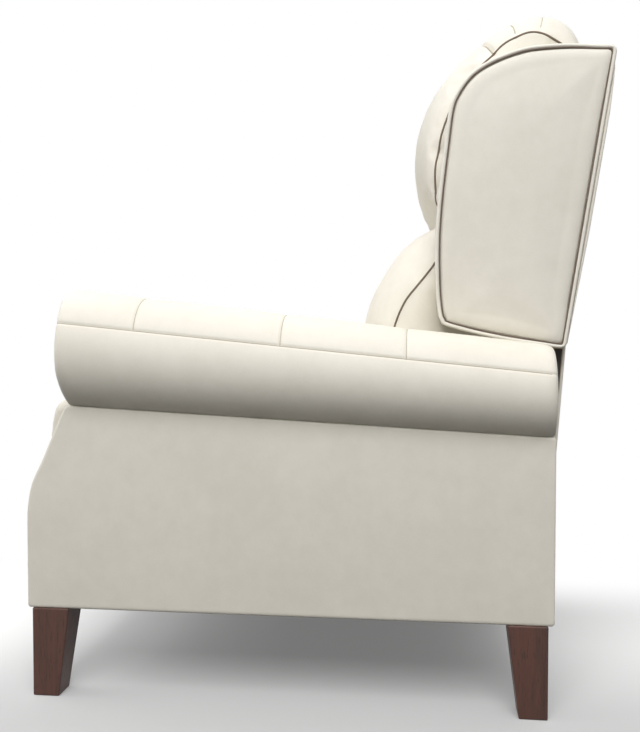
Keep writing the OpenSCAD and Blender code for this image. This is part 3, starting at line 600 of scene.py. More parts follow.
# %% One ring of the roll
NOSE_LEAN, LEAN_TOP, LEAN_X, LEAN_WIDE, LEAN_DEEP = 8.0, 512.0, 320.0, 40.0, 90.0
SEAM_SPAN, BELOW_SEAM, AT_SEAM, ABOVE_SEAM = 12, 43, 24, 76
SEAM_SINK, SEAM_WIDE, CROSS_SINK, CROSS_WIDE = 1.1, 2.0, 1.4, 2.2
INNER_END, SEAM_FADE, FOOT_IN = 182, 2, SIDE_IN + 3


def leaning(u, x, z, low):
    near, outer = ramp(u, ROLL_START + LEAN_DEEP, ROLL_START), ramp(x, LEAN_X, LEAN_X + LEAN_WIDE)
    return NOSE_LEAN * near * outer * ramp(z, LEAN_TOP, low) ** 1.3


def roll_section(u, wide=1.0, tall=1.0):
    """One ring of the arm roll: round over the top and outside, and flat below."""
    t = (u - ROLL_START) / (ROLL_END - ROLL_START)
    top, low, out, inner = lerp(*ROLL_TOP, t), under(u), lerp(*ROLL_OUT, t), lerp(*ROLL_IN, t)
    w, c = (out - inner) / 2, (out + inner) / 2
    k = math.sqrt(1 - ((SIDE_OUT - c) / w) ** 2)
    h = (top - low) / (1 + k)
    zc = top - h
    full, cross = stuffing(u, t), sum(dip(u - s, CROSS_WIDE) for s in CROSS_SEAMS)
    shoulder = lerp(*SHOULDER, t)
    before, after = shoulder - SEAM_SPAN, shoulder + SEAM_SPAN
    angles = np.r_[np.linspace(-math.degrees(math.asin(k)), before, BELOW_SEAM, endpoint=False),
                   np.linspace(before, after, AT_SEAM, endpoint=False), np.linspace(after, 180, ABOVE_SEAM)]
    ring = []
    for a in angles:
        inside = ramp(a, shoulder, INNER_END)
        lift = full * math.sin(math.pi * inside) ** 0.8 if 0 < inside < 1 else 0.0
        valley = dip((a - shoulder) * math.radians(1) * h, SEAM_WIDE)
        crossed = cross * ramp(a, shoulder - SEAM_FADE, shoulder + SEAM_FADE)
        bulge = lift - SEAM_SINK * valley - CROSS_SINK * crossed
        r = math.radians(a)
        ring.append((c + (w + bulge) * math.cos(r), zc + (h + bulge) * math.sin(r)))
    ring += [(lerp(inner, FOOT_IN, s ** 2), lerp(zc, low + 2, s)) for s in np.linspace(0, 1, 20)[1:]]
    ring += [(lerp(FOOT_IN + 2, SIDE_OUT - 1, s), low) for s in np.linspace(0, 1, 15, endpoint=False)]
    ring = [(lerp(c, x, wide), lerp(zc, z, tall if z > zc else (1 + tall) / 2)) for x, z in ring]
    return [at(x, u + leaning(u, x, z, low), z) for x, z in ring]


# %% [markdown]
# The rings stand close together near a seam and at the rounded ends, and wider elsewhere.

# %% Rings of the whole roll
NOSE_BACK, NOSE_ROUND, NOSE_TOP = 4.0, 18.0, 9.0
FACE_WIDE, FACE_TALL, FACE_IN, FACE_DOME = 0.78, 0.89, 0.3, 1.5
TAIL_BACK, TAIL_SEAM = 16, 7


def near_marks(start, end, marks, coarse, fine, reach):
    """Places from start to end, close together near the marks and wider elsewhere."""
    places, u = [start], start
    while u < end:
        u += fine if min(abs(u - m) for m in marks) < reach else coarse
        places.append(min(u, end))
    return places


middle = near_marks(ROLL_START + NOSE_BACK + NOSE_ROUND, ROLL_END - TAIL_BACK, CROSS_SEAMS,
                    coarse=5.0, fine=0.9, reach=7.0)


def rounded(d, radius):
    """How far a quarter-round edge has fallen at a distance d from the face: one at the face, then none."""
    return 1 - math.sqrt(1 - max(0.0, 1 - d / radius) ** 2)


def on_side(side, points):
    """The left side's points as they are, or mirrored for the right side."""
    return [Vector((side * p.x, p.y, p.z)) for p in points]


nose = [(NOSE_BACK + FACE_IN - FACE_DOME * (1 - f) ** 0.5, FACE_WIDE * f, FACE_TALL * f)
        for f in (0.15, 0.35, 0.55, 0.75, 0.9)]
nose += [(NOSE_BACK + d, lerp(1, FACE_WIDE, rounded(d, NOSE_ROUND)), lerp(1, FACE_TALL, rounded(d, NOSE_TOP)))
         for d in (0.3, 0.9, 1.8, 3.1, 5, 7.4, 10.5, 14)]
tail = [(d, f, (1 + f) / 2) for d, f in ((12, 0.995), (9, 0.985), (6, 0.968), (4, 0.95), (2.2, 0.925),
                                          (1, 0.895), (0.3, 0.86), (0, 0.80))]
stations = [(ROLL_START + d, w, h) for d, w, h in nose] + [(u, 1.0, 1.0) for u in middle]
stations += [(ROLL_END - d, w, h) for d, w, h in tail]
for side, name in SIDES:
    rings = [on_side(side, roll_section(*station)) for station in stations]
    cover(f"arm_cover_{name}", skin(rings), f"arm_roll_{name}")

# %% [markdown]
# The seams of the arm: one thread along the shoulder and one over the top at each cross seam. The lines
# come from the same section, a hair above the bottom of its valleys.

# %% Arm seams
SHOULDER_POINT, CROSS_END, THREAD = BELOW_SEAM + AT_SEAM // 2, 128, 0.7


def arm_seams(side):
    full = [station for station in stations if station[1] > 0.9 and station[0] < ROLL_END - TAIL_SEAM]
    lines = [[roll_section(*station)[SHOULDER_POINT] for station in full]]
    lines += [roll_section(u)[SHOULDER_POINT:CROSS_END] for u in CROSS_SEAMS]
    return [on_side(side, line) for line in lines]


# painted shade: the pale thread is darker than the leather, to stand for the seams' shade
for side, name in SIDES:
    lines = arm_seams(side)
    trim(f"arm_seams_{name}", [(line, THREAD * MM, False) for line in lines], "base", pale_thread_and_shade)
    print("arm seam", round(run_length(lines[0]), 3))

# %% [markdown]
# ## The sides
# Outside and inside, each arm has a board under tight leather. The front edge runs straight up and
# then curves back under the arm, and the top follows the roll. The outline is shared by both faces.

# %% Side panels
SIDE_LEAD, SIDE_TOP, LEG_H, CORNER_ROUND = 8.0, 454.5, 139.0, 3
EDGE_Z = (283, 295.5, 308, 321, 333, 346, 358.6, 371, 384, 401, 430.5, 449, 470)
EDGE_U = (-8, -7.2, -5.4, -3.6, -0.2, 4.9, 11.5, 18.2, 23.2, 31, 44, 53, 63)
SIDE_SPINE = ((110, 280), (690, 272))


def front_edge(z):
    """The measured front edge of a side, smoothed over a short stretch."""
    return float(np.mean(np.interp(np.linspace(z - 10, z + 10, 9), EDGE_Z, EDGE_U)))


side_line = [(front_edge(z), z) for z in np.linspace(LEG_H + CORNER_ROUND, SIDE_TOP, 60)]
side_line += [(u, under(u) - 0.4) for u in np.linspace(64, REAR_U - CORNER_ROUND, 60)]
side_line += [(REAR_U, z) for z in np.linspace(under(REAR_U) - CORNER_ROUND, LEG_H + CORNER_ROUND, 30)]
side_line += [(u, LEG_H) for u in np.linspace(REAR_U - CORNER_ROUND, -SIDE_LEAD + CORNER_ROUND, 60)]
side_line = even_line(side_line[::-1], 460)
for side, name in SIDES:
    outer = panel(side_line, SIDE_SPINE, lambda p, h: at(side * (SIDE_OUT - 3 + h), *p),
                  back=-11, edge=7, rise=3.0, crown=1.6)
    cover(f"outer_cover_{name}", outer, f"outer_side_{name}")
    inner = panel(side_line, SIDE_SPINE, lambda p, h: at(side * (SIDE_IN + 2.5 - h), *p),
                  back=-9.5, edge=6, rise=2.5, crown=0.0)
    cover(f"inner_cover_{name}", inner, f"inner_side_{name}")

# %% [markdown]
# ## The bands
# Between the two side boards a padded band closes the curved front, and another closes the rear. Each is
# a strip with rounded long edges that follows the side's own edge.

# %% Bands
BAND_IN, BAND_OUT, BAND_THICK, BAND_CROWN, BAND_EDGE, BAND_TOP = 270.3, 351.7, 12.0, 1.5, 2.5, 456.4


def band_rings(path, normals):
    """Rings of a padded strip that runs along a flat path, out along the path's normals."""
    half, mid = (BAND_OUT - BAND_IN) / 2, (BAND_IN + BAND_OUT) / 2
    shape = [(mid + s * half, -BAND_EDGE + (BAND_EDGE + BAND_CROWN * (1 - s * s)) * (1 - abs(s) ** 6) ** 0.5)
             for s in np.linspace(-1, 1, 25)]
    shape += [(mid + s * half, -BAND_THICK) for s in np.linspace(0.98, -0.98, 9)]
    return [[at(x, p[0] + n[0] * d, p[1] + n[1] * d) for x, d in shape] for p, n in zip(path, normals)]


front_path = np.array([(front_edge(z), z) for z in np.linspace(LEG_H + 0.5, BAND_TOP, 70)])
rear_path = np.array([(REAR_U, z) for z in np.linspace(LEG_H + 0.5, under(REAR_U) - 1.0, 50)])
for node, path, way in (("front_band", front_path, -1), ("rear_band", rear_path, 1)):
    t = np.gradient(path, axis=0)
    t = t / np.linalg.norm(t, axis=1)[:, None]
    normals = np.stack([t[:, 1], -t[:, 0]], axis=1) * way
    for side, name in SIDES:
        rings = [on_side(side, ring) for ring in band_rings(path, normals)]
        cover(f"{node}_cover_{name}", skin(rings, "fill"), f"{node}_{name}")

# %% [markdown]
# A cord runs up the front edge of the side on both sides of the band.

# %% Side welts
SIDE_WELT, SIDE_WELTS_X = 2.6, (SIDE_OUT - 13, SIDE_IN + 11)
for side, name in SIDES:
    lines = [([at(side * x, u + SIDE_WELT * 0.2, z) for u, z in front_path[1:-1]], SIDE_WELT * MM, False)
             for x in SIDE_WELTS_X]
    trim(f"side_welts_{name}", lines, "base", welt_leather)
print("side welt", round(run_length(lines[0][0]), 3))

# %% [markdown]
# ## Pillows by inflation
# A pillow is a case that is sewn flat and blown up by its filling. So its packed form is remeshed evenly,
# drawn in a little, and inflated as cloth for twenty frames. First come helpers that open a mesh for
# bmesh, even it out and take the mesh that a modifier gives.

# %% Even cases
def opened(data):
    mesh = bmesh.new()
    mesh.from_mesh(data)
    return mesh


def merged(node):
    mesh = opened(frame["nodes"][node].data)
    bmesh.ops.remove_doubles(mesh, verts=mesh.verts, dist=1e-6)
    return mesh


def tree_of(mesh):
    """A tree to search the faces of a mesh, which is freed."""
    bmesh.ops.recalc_face_normals(mesh, faces=mesh.faces)
    tree = BVHTree.FromBMesh(mesh)
    mesh.free()
    return tree


def modified(data, name, kind, **settings):
    """The mesh that one modifier makes of some mesh data."""
    made = placed("case", data)
    modifier = made.modifiers.new(name, kind)
    for key, value in settings.items():
        setattr(modifier, key, value)
    return taken(made)


def relax(mesh, times=1, factor=0.5, verts=None):
    """Moves vertices towards the middle of their neighbours."""
    for _ in range(times):
        bmesh.ops.smooth_vert(mesh, verts=mesh.verts if verts is None else verts, factor=factor,
                              use_axis_x=True, use_axis_y=True, use_axis_z=True)


def remeshed(node, voxel, smoothing):
    mesh = opened(modified(data_of(merged(node), "case"), "even", "REMESH", mode="VOXEL", voxel_size=voxel))
    relax(mesh, smoothing)
    return mesh


print("cases ready")

# %% [markdown]
# The cloth run blows the case up, with a cap on each point's way. The broad part of that move would make
# the pillow smaller and rounder than the real one, so a smoothed copy of the move is taken off again.
# Only the folds stay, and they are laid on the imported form.

# %% Inflation
FRAMES, PRESSURE, BROAD_ROUNDS, HOLD_REACH = 20, 4.0, 70, 0.0015


def coordinates(mesh):
    return np.array([v.co[:] for v in mesh.verts])


def inflate(mesh, cap, stiffness):
    """Blows the closed mesh up as cloth and gives each vertex's way, none longer than cap."""
    start = coordinates(mesh)
    data = bpy.data.meshes.new("case")
    mesh.to_mesh(data)
    made = placed("case", data)
    cloth = made.modifiers.new("filling", "CLOTH")
    cloth.settings.quality = 6
    cloth.settings.mass = 0.3
    cloth.settings.tension_stiffness = stiffness
    cloth.settings.compression_stiffness = stiffness
    cloth.settings.use_pressure = True
    cloth.settings.uniform_pressure_force = PRESSURE
    cloth.settings.effector_weights.gravity = 0
    cloth.point_cache.frame_start = 1
    cloth.point_cache.frame_end = FRAMES
    for step in range(1, FRAMES + 1):
        scene.frame_set(step)
    move = np.array([v.co[:] for v in taken(made).vertices]) - start
    scene.frame_set(1)
    far = np.linalg.norm(move, axis=1)[:, None]
    print("inflated by at most", round(float(far.max()) * 1000, 1), "mm")
    return move * np.minimum(1, cap / np.maximum(far, 1e-9))


def relief(mesh, move):
    """What is left of a move when its broad part is taken off, the mean of ever more neighbours."""
    mesh.verts.index_update()
    edges = np.array([[v.index for v in edge.verts] for edge in mesh.edges])
    ends, others = np.r_[edges[:, 0], edges[:, 1]], np.r_[edges[:, 1], edges[:, 0]]
    count = np.bincount(ends, minlength=len(move))[:, None]
    broad = move
    for _ in range(BROAD_ROUNDS):
        broad = np.stack([np.bincount(ends, broad[others, k], len(move)) for k in range(3)], axis=1) / count
    return move - broad


print("filling ready")

# %% [markdown]
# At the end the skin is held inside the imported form, so the pillow keeps its outline and its neighbours
# keep their room, and a subdivision gives it fine faces.

# %% Pillows
def hold_in(mesh, tree, half_width):
    """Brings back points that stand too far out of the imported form."""
    for v in mesh.verts:
        near, normal, _, distance = tree.find_nearest(v.co)
        if (v.co - near).dot(normal) > 0 and distance > HOLD_REACH:
            v.co = near + (v.co - near).normalized() * HOLD_REACH
        v.co.x = max(-half_width, min(half_width, v.co.x))


def pillow(node, name, half_width, voxel=0.006, draw=0.009, cap=0.024, stiffness=12.0):
    mesh = remeshed(node, voxel, 3)
    packed = coordinates(mesh)
    for v in mesh.verts:
        v.co -= v.normal * draw
    for v, p in zip(mesh.verts, packed + relief(mesh, inflate(mesh, cap, stiffness))):
        v.co = p
    relax(mesh)
    hold_in(mesh, tree_of(merged(node)), half_width)
    relax(mesh, factor=0.4)
    fine = modified(data_of(mesh, name), "finer", "SUBSURF", levels=1, render_levels=1)
    return cover(name, fine, node)


# %% [markdown]
# ## The head pillow
# It bulges ahead of the wings and rises above them. A seam runs round each end, and three cross seams
# over its top pull it into plump channels. Its lower front is set back a little over the lumbar pillow.

# %% Head pillow
PILLOW_HALF = 248.8
HEAD_TUCK, HEAD_TUCK_Z, HEAD_TUCK_U = 6.0, (806, 762), (660, 610)
CHANNEL_WIDE, CHANNEL_RISE, CHANNEL_BELOW = 3.6 * MM, 20 * MM, 0.3
HEAD_CHANNELS = (((784.6, 1039.9), (800.0, 1094.5), 2.0), ((747.9, 1036.7), (746.1, 1083.6), 4.0),
                 ((712.7, 1011.8), (695.2, 1049.1), 6.0))
head = pillow("head_pillow", "head_cushion", PILLOW_HALF * MM)


def measured(p):
    """The reverse of at: how far across, behind and up a point is, in millimetres."""
    return p.x / MM, p.y / MM + MID_DEPTH, p.z / MM


def channel(made, low, high, depth):
    """Sinks a valley where a plane across the chair cuts the cover."""
    a, b = at(0, *low), at(0, *high)
    way = (b - a).normalized()
    side = Vector((1, 0, 0)).cross(way).normalized()
    start = at(0, *(lerp(p, q, -CHANNEL_BELOW) for p, q in zip(low, high)))
    for v in made.data.vertices:
        away, ahead = (v.co - a).dot(side), (v.co - start).dot(way)
        if ahead > 0 and abs(away) < 4 * CHANNEL_WIDE:
            v.co -= way * (depth * MM) * ramp(ahead, 0, CHANNEL_RISE) * dip(away, CHANNEL_WIDE)


for low, high, depth in HEAD_CHANNELS:
    channel(head, low, high, depth)
for v in head.data.vertices:
    x, u, z = measured(v.co)
    v.co.y += HEAD_TUCK * MM * ramp(z, *HEAD_TUCK_Z) * ramp(u, *HEAD_TUCK_U)
print("head cushion", [round(v, 3) for v in head.dimensions])

# %% [markdown]
# ## The lumbar pillow
# The lumbar pillow bulges most just above the seat. Its sides are tucked in beside the arms.

# %% Lumbar pillow
TUCK, TUCK_X = 14.0, (200.0, PILLOW_HALF)
TUCK_U, TUCK_LOW, TUCK_HIGH = (596, 656), (500, 530), (640, 580)
lumbar = pillow("lumbar_pillow", "lumbar_cushion", PILLOW_HALF * MM)
for v in lumbar.data.vertices:
    x, u, z = measured(v.co)
    tuck = ramp(u, *TUCK_U) * ramp(z, *TUCK_HIGH) * ramp(z, *TUCK_LOW) * ramp(abs(x), *TUCK_X) ** 2
    v.co.x -= math.copysign(TUCK * MM, v.co.x) * tuck
print("lumbar cushion", [round(v, 3) for v in lumbar.dimensions])

# %% [markdown]
# ## The seat cushion
# The seat has a firmer case and rounds over its front edge. The photograph shows how far its nose stands
# out at each height. So the reach of the filled cushion is read in columns across its front, the skin
# there is pushed out to the line of the photograph, and the push fades over a hand's breadth.

# %% Seat cushion
NOSE_Z = (374, 381, 395, 408.5, 422, 436, 449, 468, 482)
NOSE_U = (-21, -21.5, -21.4, -19.4, -17.5, -15.6, -12, 5, 24)
NOSE_SPAN, NOSE_REACH, NOSE_MOST, NOSE_SOFT = 70.0, 95.0, 16.0, 30.0
NOSE_LOW, NOSE_HIGH = (NOSE_Z[0], NOSE_Z[0] + 10), (500, 480)
COLUMN, ROW = 12, 4
seat = pillow("seat_cushion", "seat_cover", 0.252, cap=0.022, stiffness=15.0)
fronts = {}
for v in seat.data.vertices:
    x, u, z = measured(v.co)
    cell = (round(abs(x) / COLUMN), round(z / ROW))
    fronts[cell] = min(fronts.get(cell, 1e9), u)
columns = {}
for (column, row), u in sorted(fronts.items()):
    columns.setdefault(column, []).append((row, u))
columns = {column: np.array(found).T for column, found in columns.items()}


def seat_front(x, z):
    """How far forward the cushion reaches at a place, read between the two nearest columns."""
    place = min(abs(x) / COLUMN, max(columns) - 0.001)
    low, high = (float(np.interp(z / ROW, *columns[k])) for k in (int(place), int(place) + 1))
    return lerp(low, high, place - int(place))


for v in seat.data.vertices:
    x, u, z = measured(v.co)
    if z < NOSE_Z[0] or u > NOSE_REACH:
        continue
    front = seat_front(x, z)
    if u - front < NOSE_SPAN:
        push = max(0.0, front - float(np.interp(z, NOSE_Z, NOSE_U)))
        push = min(NOSE_MOST, push * min(ramp(z, *NOSE_LOW), ramp(z, *NOSE_HIGH)))
        v.co.y -= push * MM * (1 - (u - front) / NOSE_SPAN) ** 1.5
mesh = opened(seat.data)
relax(mesh, 4, verts=[v for v in mesh.verts if measured(v.co)[1] < NOSE_SOFT])
mesh.to_mesh(seat.data)
mesh.free()
print("seat cover", [round(v, 3) for v in seat.dimensions])

# %% [markdown]
# The footrest's pad hides under the seat's nose until the chair opens. It is thin, so it is hardly drawn in.

# %% Footrest pad
pillow("footrest_pad", "footrest_cover", 0.254, voxel=0.005, draw=0.003, cap=0.008)

# %% [markdown]
# ## Pillow seams
# Each pillow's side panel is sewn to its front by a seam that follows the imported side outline. The line is
# laid on the finished skin with a nearest-point search, so that it never floats. Its steps to the skin are
# evened along the line, because a real seam runs straight over small folds.

# %% Pillow seams
HEAD_SEAM = [(632, 759), (710, 760), (796, 770), (812, 880), (826, 970), (838, 990), (839, 997), (830, 1009),
             (815, 1020), (804.8, 1026.6), (793, 1033), (779, 1037.6), (766, 1038), (749.7, 1031.6),
             (734.6, 1025.7), (719, 1014.6), (705, 1001), (691, 988), (676.9, 973.2), (651, 938),
             (635.5, 902), (626, 866), (621, 830), (620, 785)]
LUMBAR_SEAM = [(572, 510), (616, 500), (690, 495), (742, 498), (752, 532), (766, 640), (784, 736), (745, 745),
               (690, 746), (648, 726), (623, 681), (610, 663.5), (590, 638), (580, 626.5), (569, 606.5),
               (558.5, 579), (557, 552), (561, 528)]
SEAM_POINTS, CALM_STEPS, CALM_LINE, END_SEAM = 360, 24, 4, 1.75


def laid(points, tree):
    """The points moved onto a skin."""
    return np.array([tree.find_nearest(Vector(p))[0][:] for p in points])


def evened(points, reach):
    """Each point of a closed line as the mean of its neighbours within reach."""
    return sum(np.roll(points, k, axis=0) for k in range(-reach, reach + 1)) / (2 * reach + 1)


def side_seam(made, outline, half):
    tree = tree_of(opened(made.data))
    line = even_line(smooth_loop(outline, 6), SEAM_POINTS)
    seams = []
    for side in (1, -1):
        aim = np.array([at(side * half, *p)[:] for p in line])
        steps = evened(laid(aim, tree) - aim, CALM_STEPS)
        seams.append([Vector(p) for p in evened(laid(aim + steps, tree), CALM_LINE)])
    return seams


# painted shade: the thick dark thread also stands for the shade in each seam's groove
for made, outline in ((head, HEAD_SEAM), (lumbar, LUMBAR_SEAM)):
    lines = [(line, END_SEAM * MM, True) for line in side_seam(made, outline, PILLOW_HALF - 3)]
    trim(made.name + "_seams", lines, "back", seam_thread_and_shade)
    print(made.name, "seam", round(run_length(lines[0][0]), 3))

# %% [markdown]
# The channels over the head pillow's top get their threads where rays from above meet its skin. Each
# thread is thicker the deeper its channel, as painted shade of the channel.

# %% Channel seams
CHANNEL_END, CHANNEL_THREAD, THREAD_AND_SHADE_BY_DEPTH, RAY_FROM, ON_TOP = 11, 0.4, 0.16, 0.2, 0.0002


def over_top(made, low, high):
    """A line over the cover from side to side, where a plane across the chair cuts it."""
    tree = tree_of(opened(made.data))
    way = (at(0, *high) - at(0, *low)).normalized()
    line = []
    for x in np.linspace(-PILLOW_HALF + CHANNEL_END, PILLOW_HALF - CHANNEL_END, 120):
        place = tree.ray_cast(at(x, *low) + way * RAY_FROM, -way)[0]
        if place:
            line.append(place + way * ON_TOP)
    return line


# painted shade: a deeper channel gets a thicker thread
lines = [(over_top(head, low, high), (CHANNEL_THREAD + THREAD_AND_SHADE_BY_DEPTH * depth) * MM, False)
         for low, high, depth in HEAD_CHANNELS]
trim("head_channel_seams", lines, "back", pale_thread_and_shade)
print("channel seam", round(run_length(lines[0][0]), 3))

# %% [markdown]
# ## The outside back
# The outside back is a thin board under leather, wide behind the wings and narrower between the arms. A
# block is cut across by many planes so that it can bend, its long edges are bevelled as folded leather is,
# and then it leans with the back. Its rear face gets a low crown from the wadding under the leather.

# %% Boards that lean with the back
def leaning_board(x0, x1, z0, z1, ahead, rear, round_by, crown=0.0, planes=(24, 18)):
    """A block from rear to ahead millimetres in front of the back's rear face, leant with the back."""
    mesh = bmesh.new()
    bmesh.ops.create_cube(mesh, size=1)
    for v in mesh.verts:
        x, y, z = v.co
        v.co = Vector((lerp(x0, x1, x + 0.5), lerp(-rear, -ahead, 0.5 - y), lerp(z0, z1, z + 0.5)))
    bmesh.ops.bevel(mesh, geom=mesh.edges[:], offset=round_by, offset_type="OFFSET", segments=4, profile=0.5,
                    affect="EDGES", material=-1)
    for count, low, high, axis in ((planes[0], x0, x1, (1, 0, 0)), (planes[1], z0, z1, (0, 0, 1))):
        for k in range(1, count):
            bmesh.ops.bisect_plane(mesh, geom=mesh.verts[:] + mesh.edges[:] + mesh.faces[:],
                                   plane_co=Vector(axis) * lerp(low, high, k / count), plane_no=axis)
    for v in mesh.verts:
        across = 1 - abs((v.co.x - x0) / (x1 - x0) * 2 - 1) ** 3
        up = 1 - abs((v.co.z - z0) / (z1 - z0) * 2 - 1) ** 3
        swell = crown * max(across, 0) * max(up, 0) * (v.co.y + ahead) / (ahead - rear)
        v.co = at(v.co.x, back_face(v.co.z) + v.co.y + swell, v.co.z)
    bmesh.ops.recalc_face_normals(mesh, faces=mesh.faces)
    return mesh


def joined(meshes):
    """One mesh of several closed ones."""
    whole = bmesh.new()
    for mesh in meshes:
        whole.from_mesh(data_of(mesh, "share"))
    return whole


BACK_HALF, BACK_WIDE, BACK_DEEP = 249.0, 290.0, 46.0
BACK_LOW, BACK_STEP, BACK_TOP = 345.0, 552.0, 989.0
CORNER, EDGE_SPAN, THIN_BY, THIN_LOW, THIN_HIGH = 34.0, (38.0, 4), 0.86, (720, BACK_STEP), (905, BACK_TOP)


def soften_edges(mesh):
    """Rounds the top corners of the wide board and thins its side edges towards both ends."""
    for v in mesh.verts:
        x, u, z = measured(v.co)
        thin = max(ramp(z, *THIN_LOW), ramp(z, *THIN_HIGH))
        near = ramp(abs(x), *(BACK_WIDE - d for d in EDGE_SPAN))
        behind = (u - back_face(z)) / BACK_SKIN + 1
        v.co.y -= max(0.0, behind) * THIN_BY * BACK_SKIN * MM * thin * near
        a, b = abs(x) - (BACK_WIDE - CORNER), z - (BACK_TOP - CORNER)
        if a > 0 and b > 0:
            shrink = max(a, b) / math.hypot(a, b)
            v.co.x = math.copysign((BACK_WIDE - CORNER + a * shrink) * MM, v.co.x)
            v.co.z = (BACK_TOP - CORNER + b * shrink) * MM
            v.co.y += (back_face(v.co.z / MM) - back_face(z)) * MM
    return mesh


outside = joined([
    soften_edges(leaning_board(-BACK_WIDE, BACK_WIDE, BACK_STEP, BACK_TOP, BACK_SKIN, 0, 2.2, 3.0, (48, 40))),
    leaning_board(-BACK_HALF, BACK_HALF, BACK_LOW, BACK_STEP, BACK_SKIN, 0, 2.2, 1.5),
    leaning_board(-WING_IN + 1, WING_IN - 1, BACK_TOP - BACK_SKIN, BACK_TOP, BACK_SKIN + BACK_DEEP,
                  BACK_SKIN, 1.5)])
cover("outside_back_cover", outside, "outside_back")

# %% [markdown]
# Between the arms and the wings, the posts of the back's frame are wrapped in the dark cloth of the deck.
# Its dark colour is partly the cloth's own and partly painted shade for the deep gap between arm and back.
# Each wrap is a snug closed sleeve over its post. A lower one is tucked a little under the upper one and
# goes behind the hinge bracket's plate.

# %% Wrapped posts
POST = 45.0
UPPER_WRAP, LOWER_WRAP = (0.25, 446, 544, 0), (-0.15, 392, 449, 0.15)
# painted shade: the dark sleeves darken the gap between the arm and the back
wraps = [leaning_board(side * (BACK_HALF - POST - 0.3), side * (BACK_HALF + proud), low, high,
                       BACK_SKIN + BACK_DEEP + 0.4 - under_it, BACK_SKIN - 0.2 + under_it, 1.2, 0.0, (4, 8))
         for side in (1, -1) for proud, low, high, under_it in (UPPER_WRAP, LOWER_WRAP)]
wraps = piece("back_post_wraps", joined(wraps), "back", deck_cloth, "deck_cloth")
print("post wraps", len(wraps.data.vertices), "points")

# %% [markdown]
# ## The rear rail and the deck
# The rear rail is a covered board with a step that lets the hinges pass. A voxel remesh of its packed form
# gives even faces, and smoothing rounds the edges as leather does. The deck cloth is made the same way.

# %% Wrapped boards
for node, name, smoothing, grow, finish, slot in (
        ("rear_rail", "rear_rail_cover", 3, 0.0008, cover_leather, "upholstery"),
        ("seat_deck", "seat_deck_cloth", 2, 0.0004, deck_cloth, "deck_cloth")):
    mesh = remeshed(node, 0.005, smoothing)
    for v in mesh.verts:
        v.co += v.normal * grow
    cover(name, mesh, node, finish, slot)

# %% [markdown]
# ## The legs
# The legs are sawn out of square stock with two flat tapers each. Their packed form is right, and a small
# bevel takes the sharpness off, as sanding does. The bevel goes into the mesh with bmesh.ops.bevel.

# %% Legs
SANDED, LONG_EDGE, SHARP, FLAT = 0.0022, 0.03, math.radians(60), math.radians(2)
for node in ("leg_front_left", "leg_front_right", "leg_rear_left", "leg_rear_right"):
    mesh = merged(node)
    bmesh.ops.dissolve_limit(mesh, angle_limit=FLAT, verts=mesh.verts, edges=mesh.edges)
    sharp = [e for e in mesh.edges
             if len(e.link_faces) == 2 and e.calc_face_angle() > SHARP and e.calc_length() > LONG_EDGE]
    bmesh.ops.bevel(mesh, geom=sharp, offset=SANDED, offset_type="OFFSET", segments=3, profile=0.5,
                    affect="EDGES", material=-1)
    leg = piece(node + "_sanded", mesh, "base", leg_wood, "leg_wood", smooth=False)
    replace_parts(leg, node)
print("legs", len(leg.data.polygons), "faces each")

# %% [markdown]
# ## Finishes for the mechanism and the frame
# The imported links, plates, tubes, rails and springs have their right shapes, so they only take a finish.

# %% Carried-over nodes
BY_SLOT = {"leg_wood": leg_wood, "frame_wood": frame_wood, "black_steel": black_steel,
           "zinc_steel": zinc_steel, "spring_steel": spring_steel, "deck_cloth": deck_cloth,
           "upholstery": cover_leather}
slot_of = {s["node"]: s["material_slot"] for s in frame["record"]["subparts"]}
for node, thing in frame["nodes"].items():
    thing.data.materials.clear()
    thing.data.materials.append(BY_SLOT[slot_of[node]])
print("finishes on", len(frame["nodes"]), "nodes")

# %% [markdown]
# ## Floor and world
# The studio is a plain pale floor in a white room. Bright tops, calmer sides and dark undersides ask for
# light from above, so the sky is graded for the light that it casts: dark at the horizon and pale overhead.
# To the rays that see it, from the camera, by gloss or through glass, it is plain white. The floor gives
# back less light than it seems to, so that the undersides stay dark. To the same rays it shows pale, with a
# painted shadow that darkens it on the near side; behind the chair, where its shadow falls, it turns white
# as painted light, and it turns white far away too.

# %% Floor
SEEN_BY = ("Is Camera Ray", "Is Glossy Ray", "Is Transmission Ray")
FLOOR_HALF, FLOOR_GLOW, WHITE = 14.0, 0.14, (1, 1, 1, 1)
PAINTED_SHADOW_NEAR, PAINTED_LIGHT_BEHIND, BEYOND = (0.0, 0.5), (0.12, 0.42), (1.2, 3.0)


def seen(finish):
    """One for a ray that sees the finish, and none for a ray that only carries its light."""
    path = finish.tree.nodes.new("ShaderNodeLightPath")
    return sum(Value(finish, path.outputs[ray]) for ray in SEEN_BY)


def mixed(finish, share, a, b):
    return finish.node("ShaderNodeMixShader", sockets={0: share, 1: a, 2: b})


def plain(finish, kind, color=WHITE, **sockets):
    return finish.node("ShaderNode" + kind, sockets={"Color": color, **sockets})


mesh = bmesh.new()
bmesh.ops.create_grid(mesh, x_segments=1, y_segments=1, size=FLOOR_HALF)
floor = placed("studio_floor", data_of(mesh, "studio_floor"))
ground = Finish("studio_floor")
where = ground.place()
paint = ground.blend(ground.noise(where, 3.0), srgb(62, 61, 60), srgb(68, 67, 66))
paint = plain(ground, "BsdfDiffuse", paint)
across = ground.node("ShaderNodeSeparateXYZ", sockets={0: where})
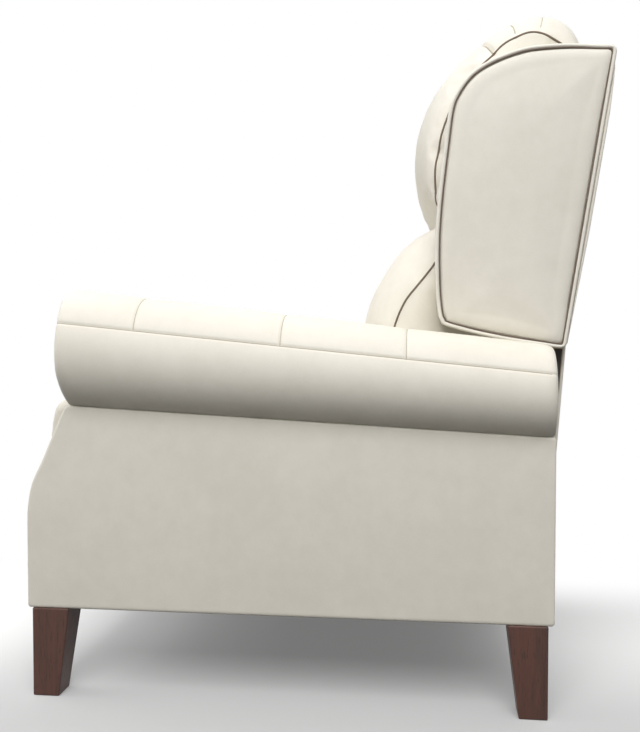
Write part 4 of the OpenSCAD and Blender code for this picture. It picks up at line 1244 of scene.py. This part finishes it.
# painted shadow: the floor's colour darkens towards the near side
pale = ground.blend(ground.between(across, *PAINTED_SHADOW_NEAR), srgb(230, 230, 230), srgb(176, 176, 176))
pale, glow = plain(ground, "BsdfDiffuse", pale), plain(ground, "Emission", Strength=FLOOR_GLOW)
pale = ground.node("ShaderNodeAddShader", sockets={0: pale, 1: glow})
pure = plain(ground, "Emission", Strength=1.0)
away = ground.node("ShaderNodeVectorMath", {"operation": "LENGTH"}, {0: where}, output=1)
# painted light: behind the chair the floor turns pure white over the chair's shadow
beyond, behind = ground.between(away, *BEYOND), ground.between(0 - across, *PAINTED_LIGHT_BEHIND)
far = beyond.math("MAXIMUM", beyond, behind)
lit = mixed(ground, seen(ground), paint, mixed(ground, far, pale, pure))
floor.data.materials.append(ground.surface(lit))
print("floor", FLOOR_HALF * 2, "m wide")

# %% World
SKY_LOW, SKY_HIGH = 0.05, 0.90
sky = Finish("studio", bpy.data.worlds)
toward = sky.node("ShaderNodeTexCoord", output="Generated")
up = sky.node("ShaderNodeSeparateXYZ", sockets={0: toward}, output="Z")
grade = sky.node("ShaderNodeMapRange", sockets={"Value": up, "To Min": SKY_LOW, "To Max": SKY_HIGH})
casts, shows = plain(sky, "Background", Strength=grade), plain(sky, "Background", Strength=1.0)
scene.world = sky.surface(mixed(sky, seen(sky), casts, shows), "ShaderNodeOutputWorld")
print("world", scene.world.name)

# %% [markdown]
# ## Light
# One large soft lamp stands high at the chair's left side and lights the tops and the side. A weaker one in
# front fills the pillows and the seat, and a faint one overhead softens the shadow on the floor.

# %% Lamps
LAMPS = (("overhead", (-1.0, -0.5, 3.0), (0, 0.05, 0.5), 2.6, 6.0),
         ("side_key", (2.6, 0.1, 3.0), (0, 0, 0.55), 2.4, 97.0),
         ("front_fill", (0.1, -3.1, 1.9), (0, 0, 0.7), 2.4, 36.0))
for name, place, aim, size, power in LAMPS:
    light = bpy.data.lights.new(name, "AREA")
    light.shape = "SQUARE"
    light.size = size
    light.energy = power
    lamp = placed(name, light)
    lamp.location = place
    lamp.rotation_euler = (Vector(aim) - Vector(place)).to_track_quat("-Z", "Y").to_euler()
print("lamps", [lamp[0] for lamp in LAMPS])
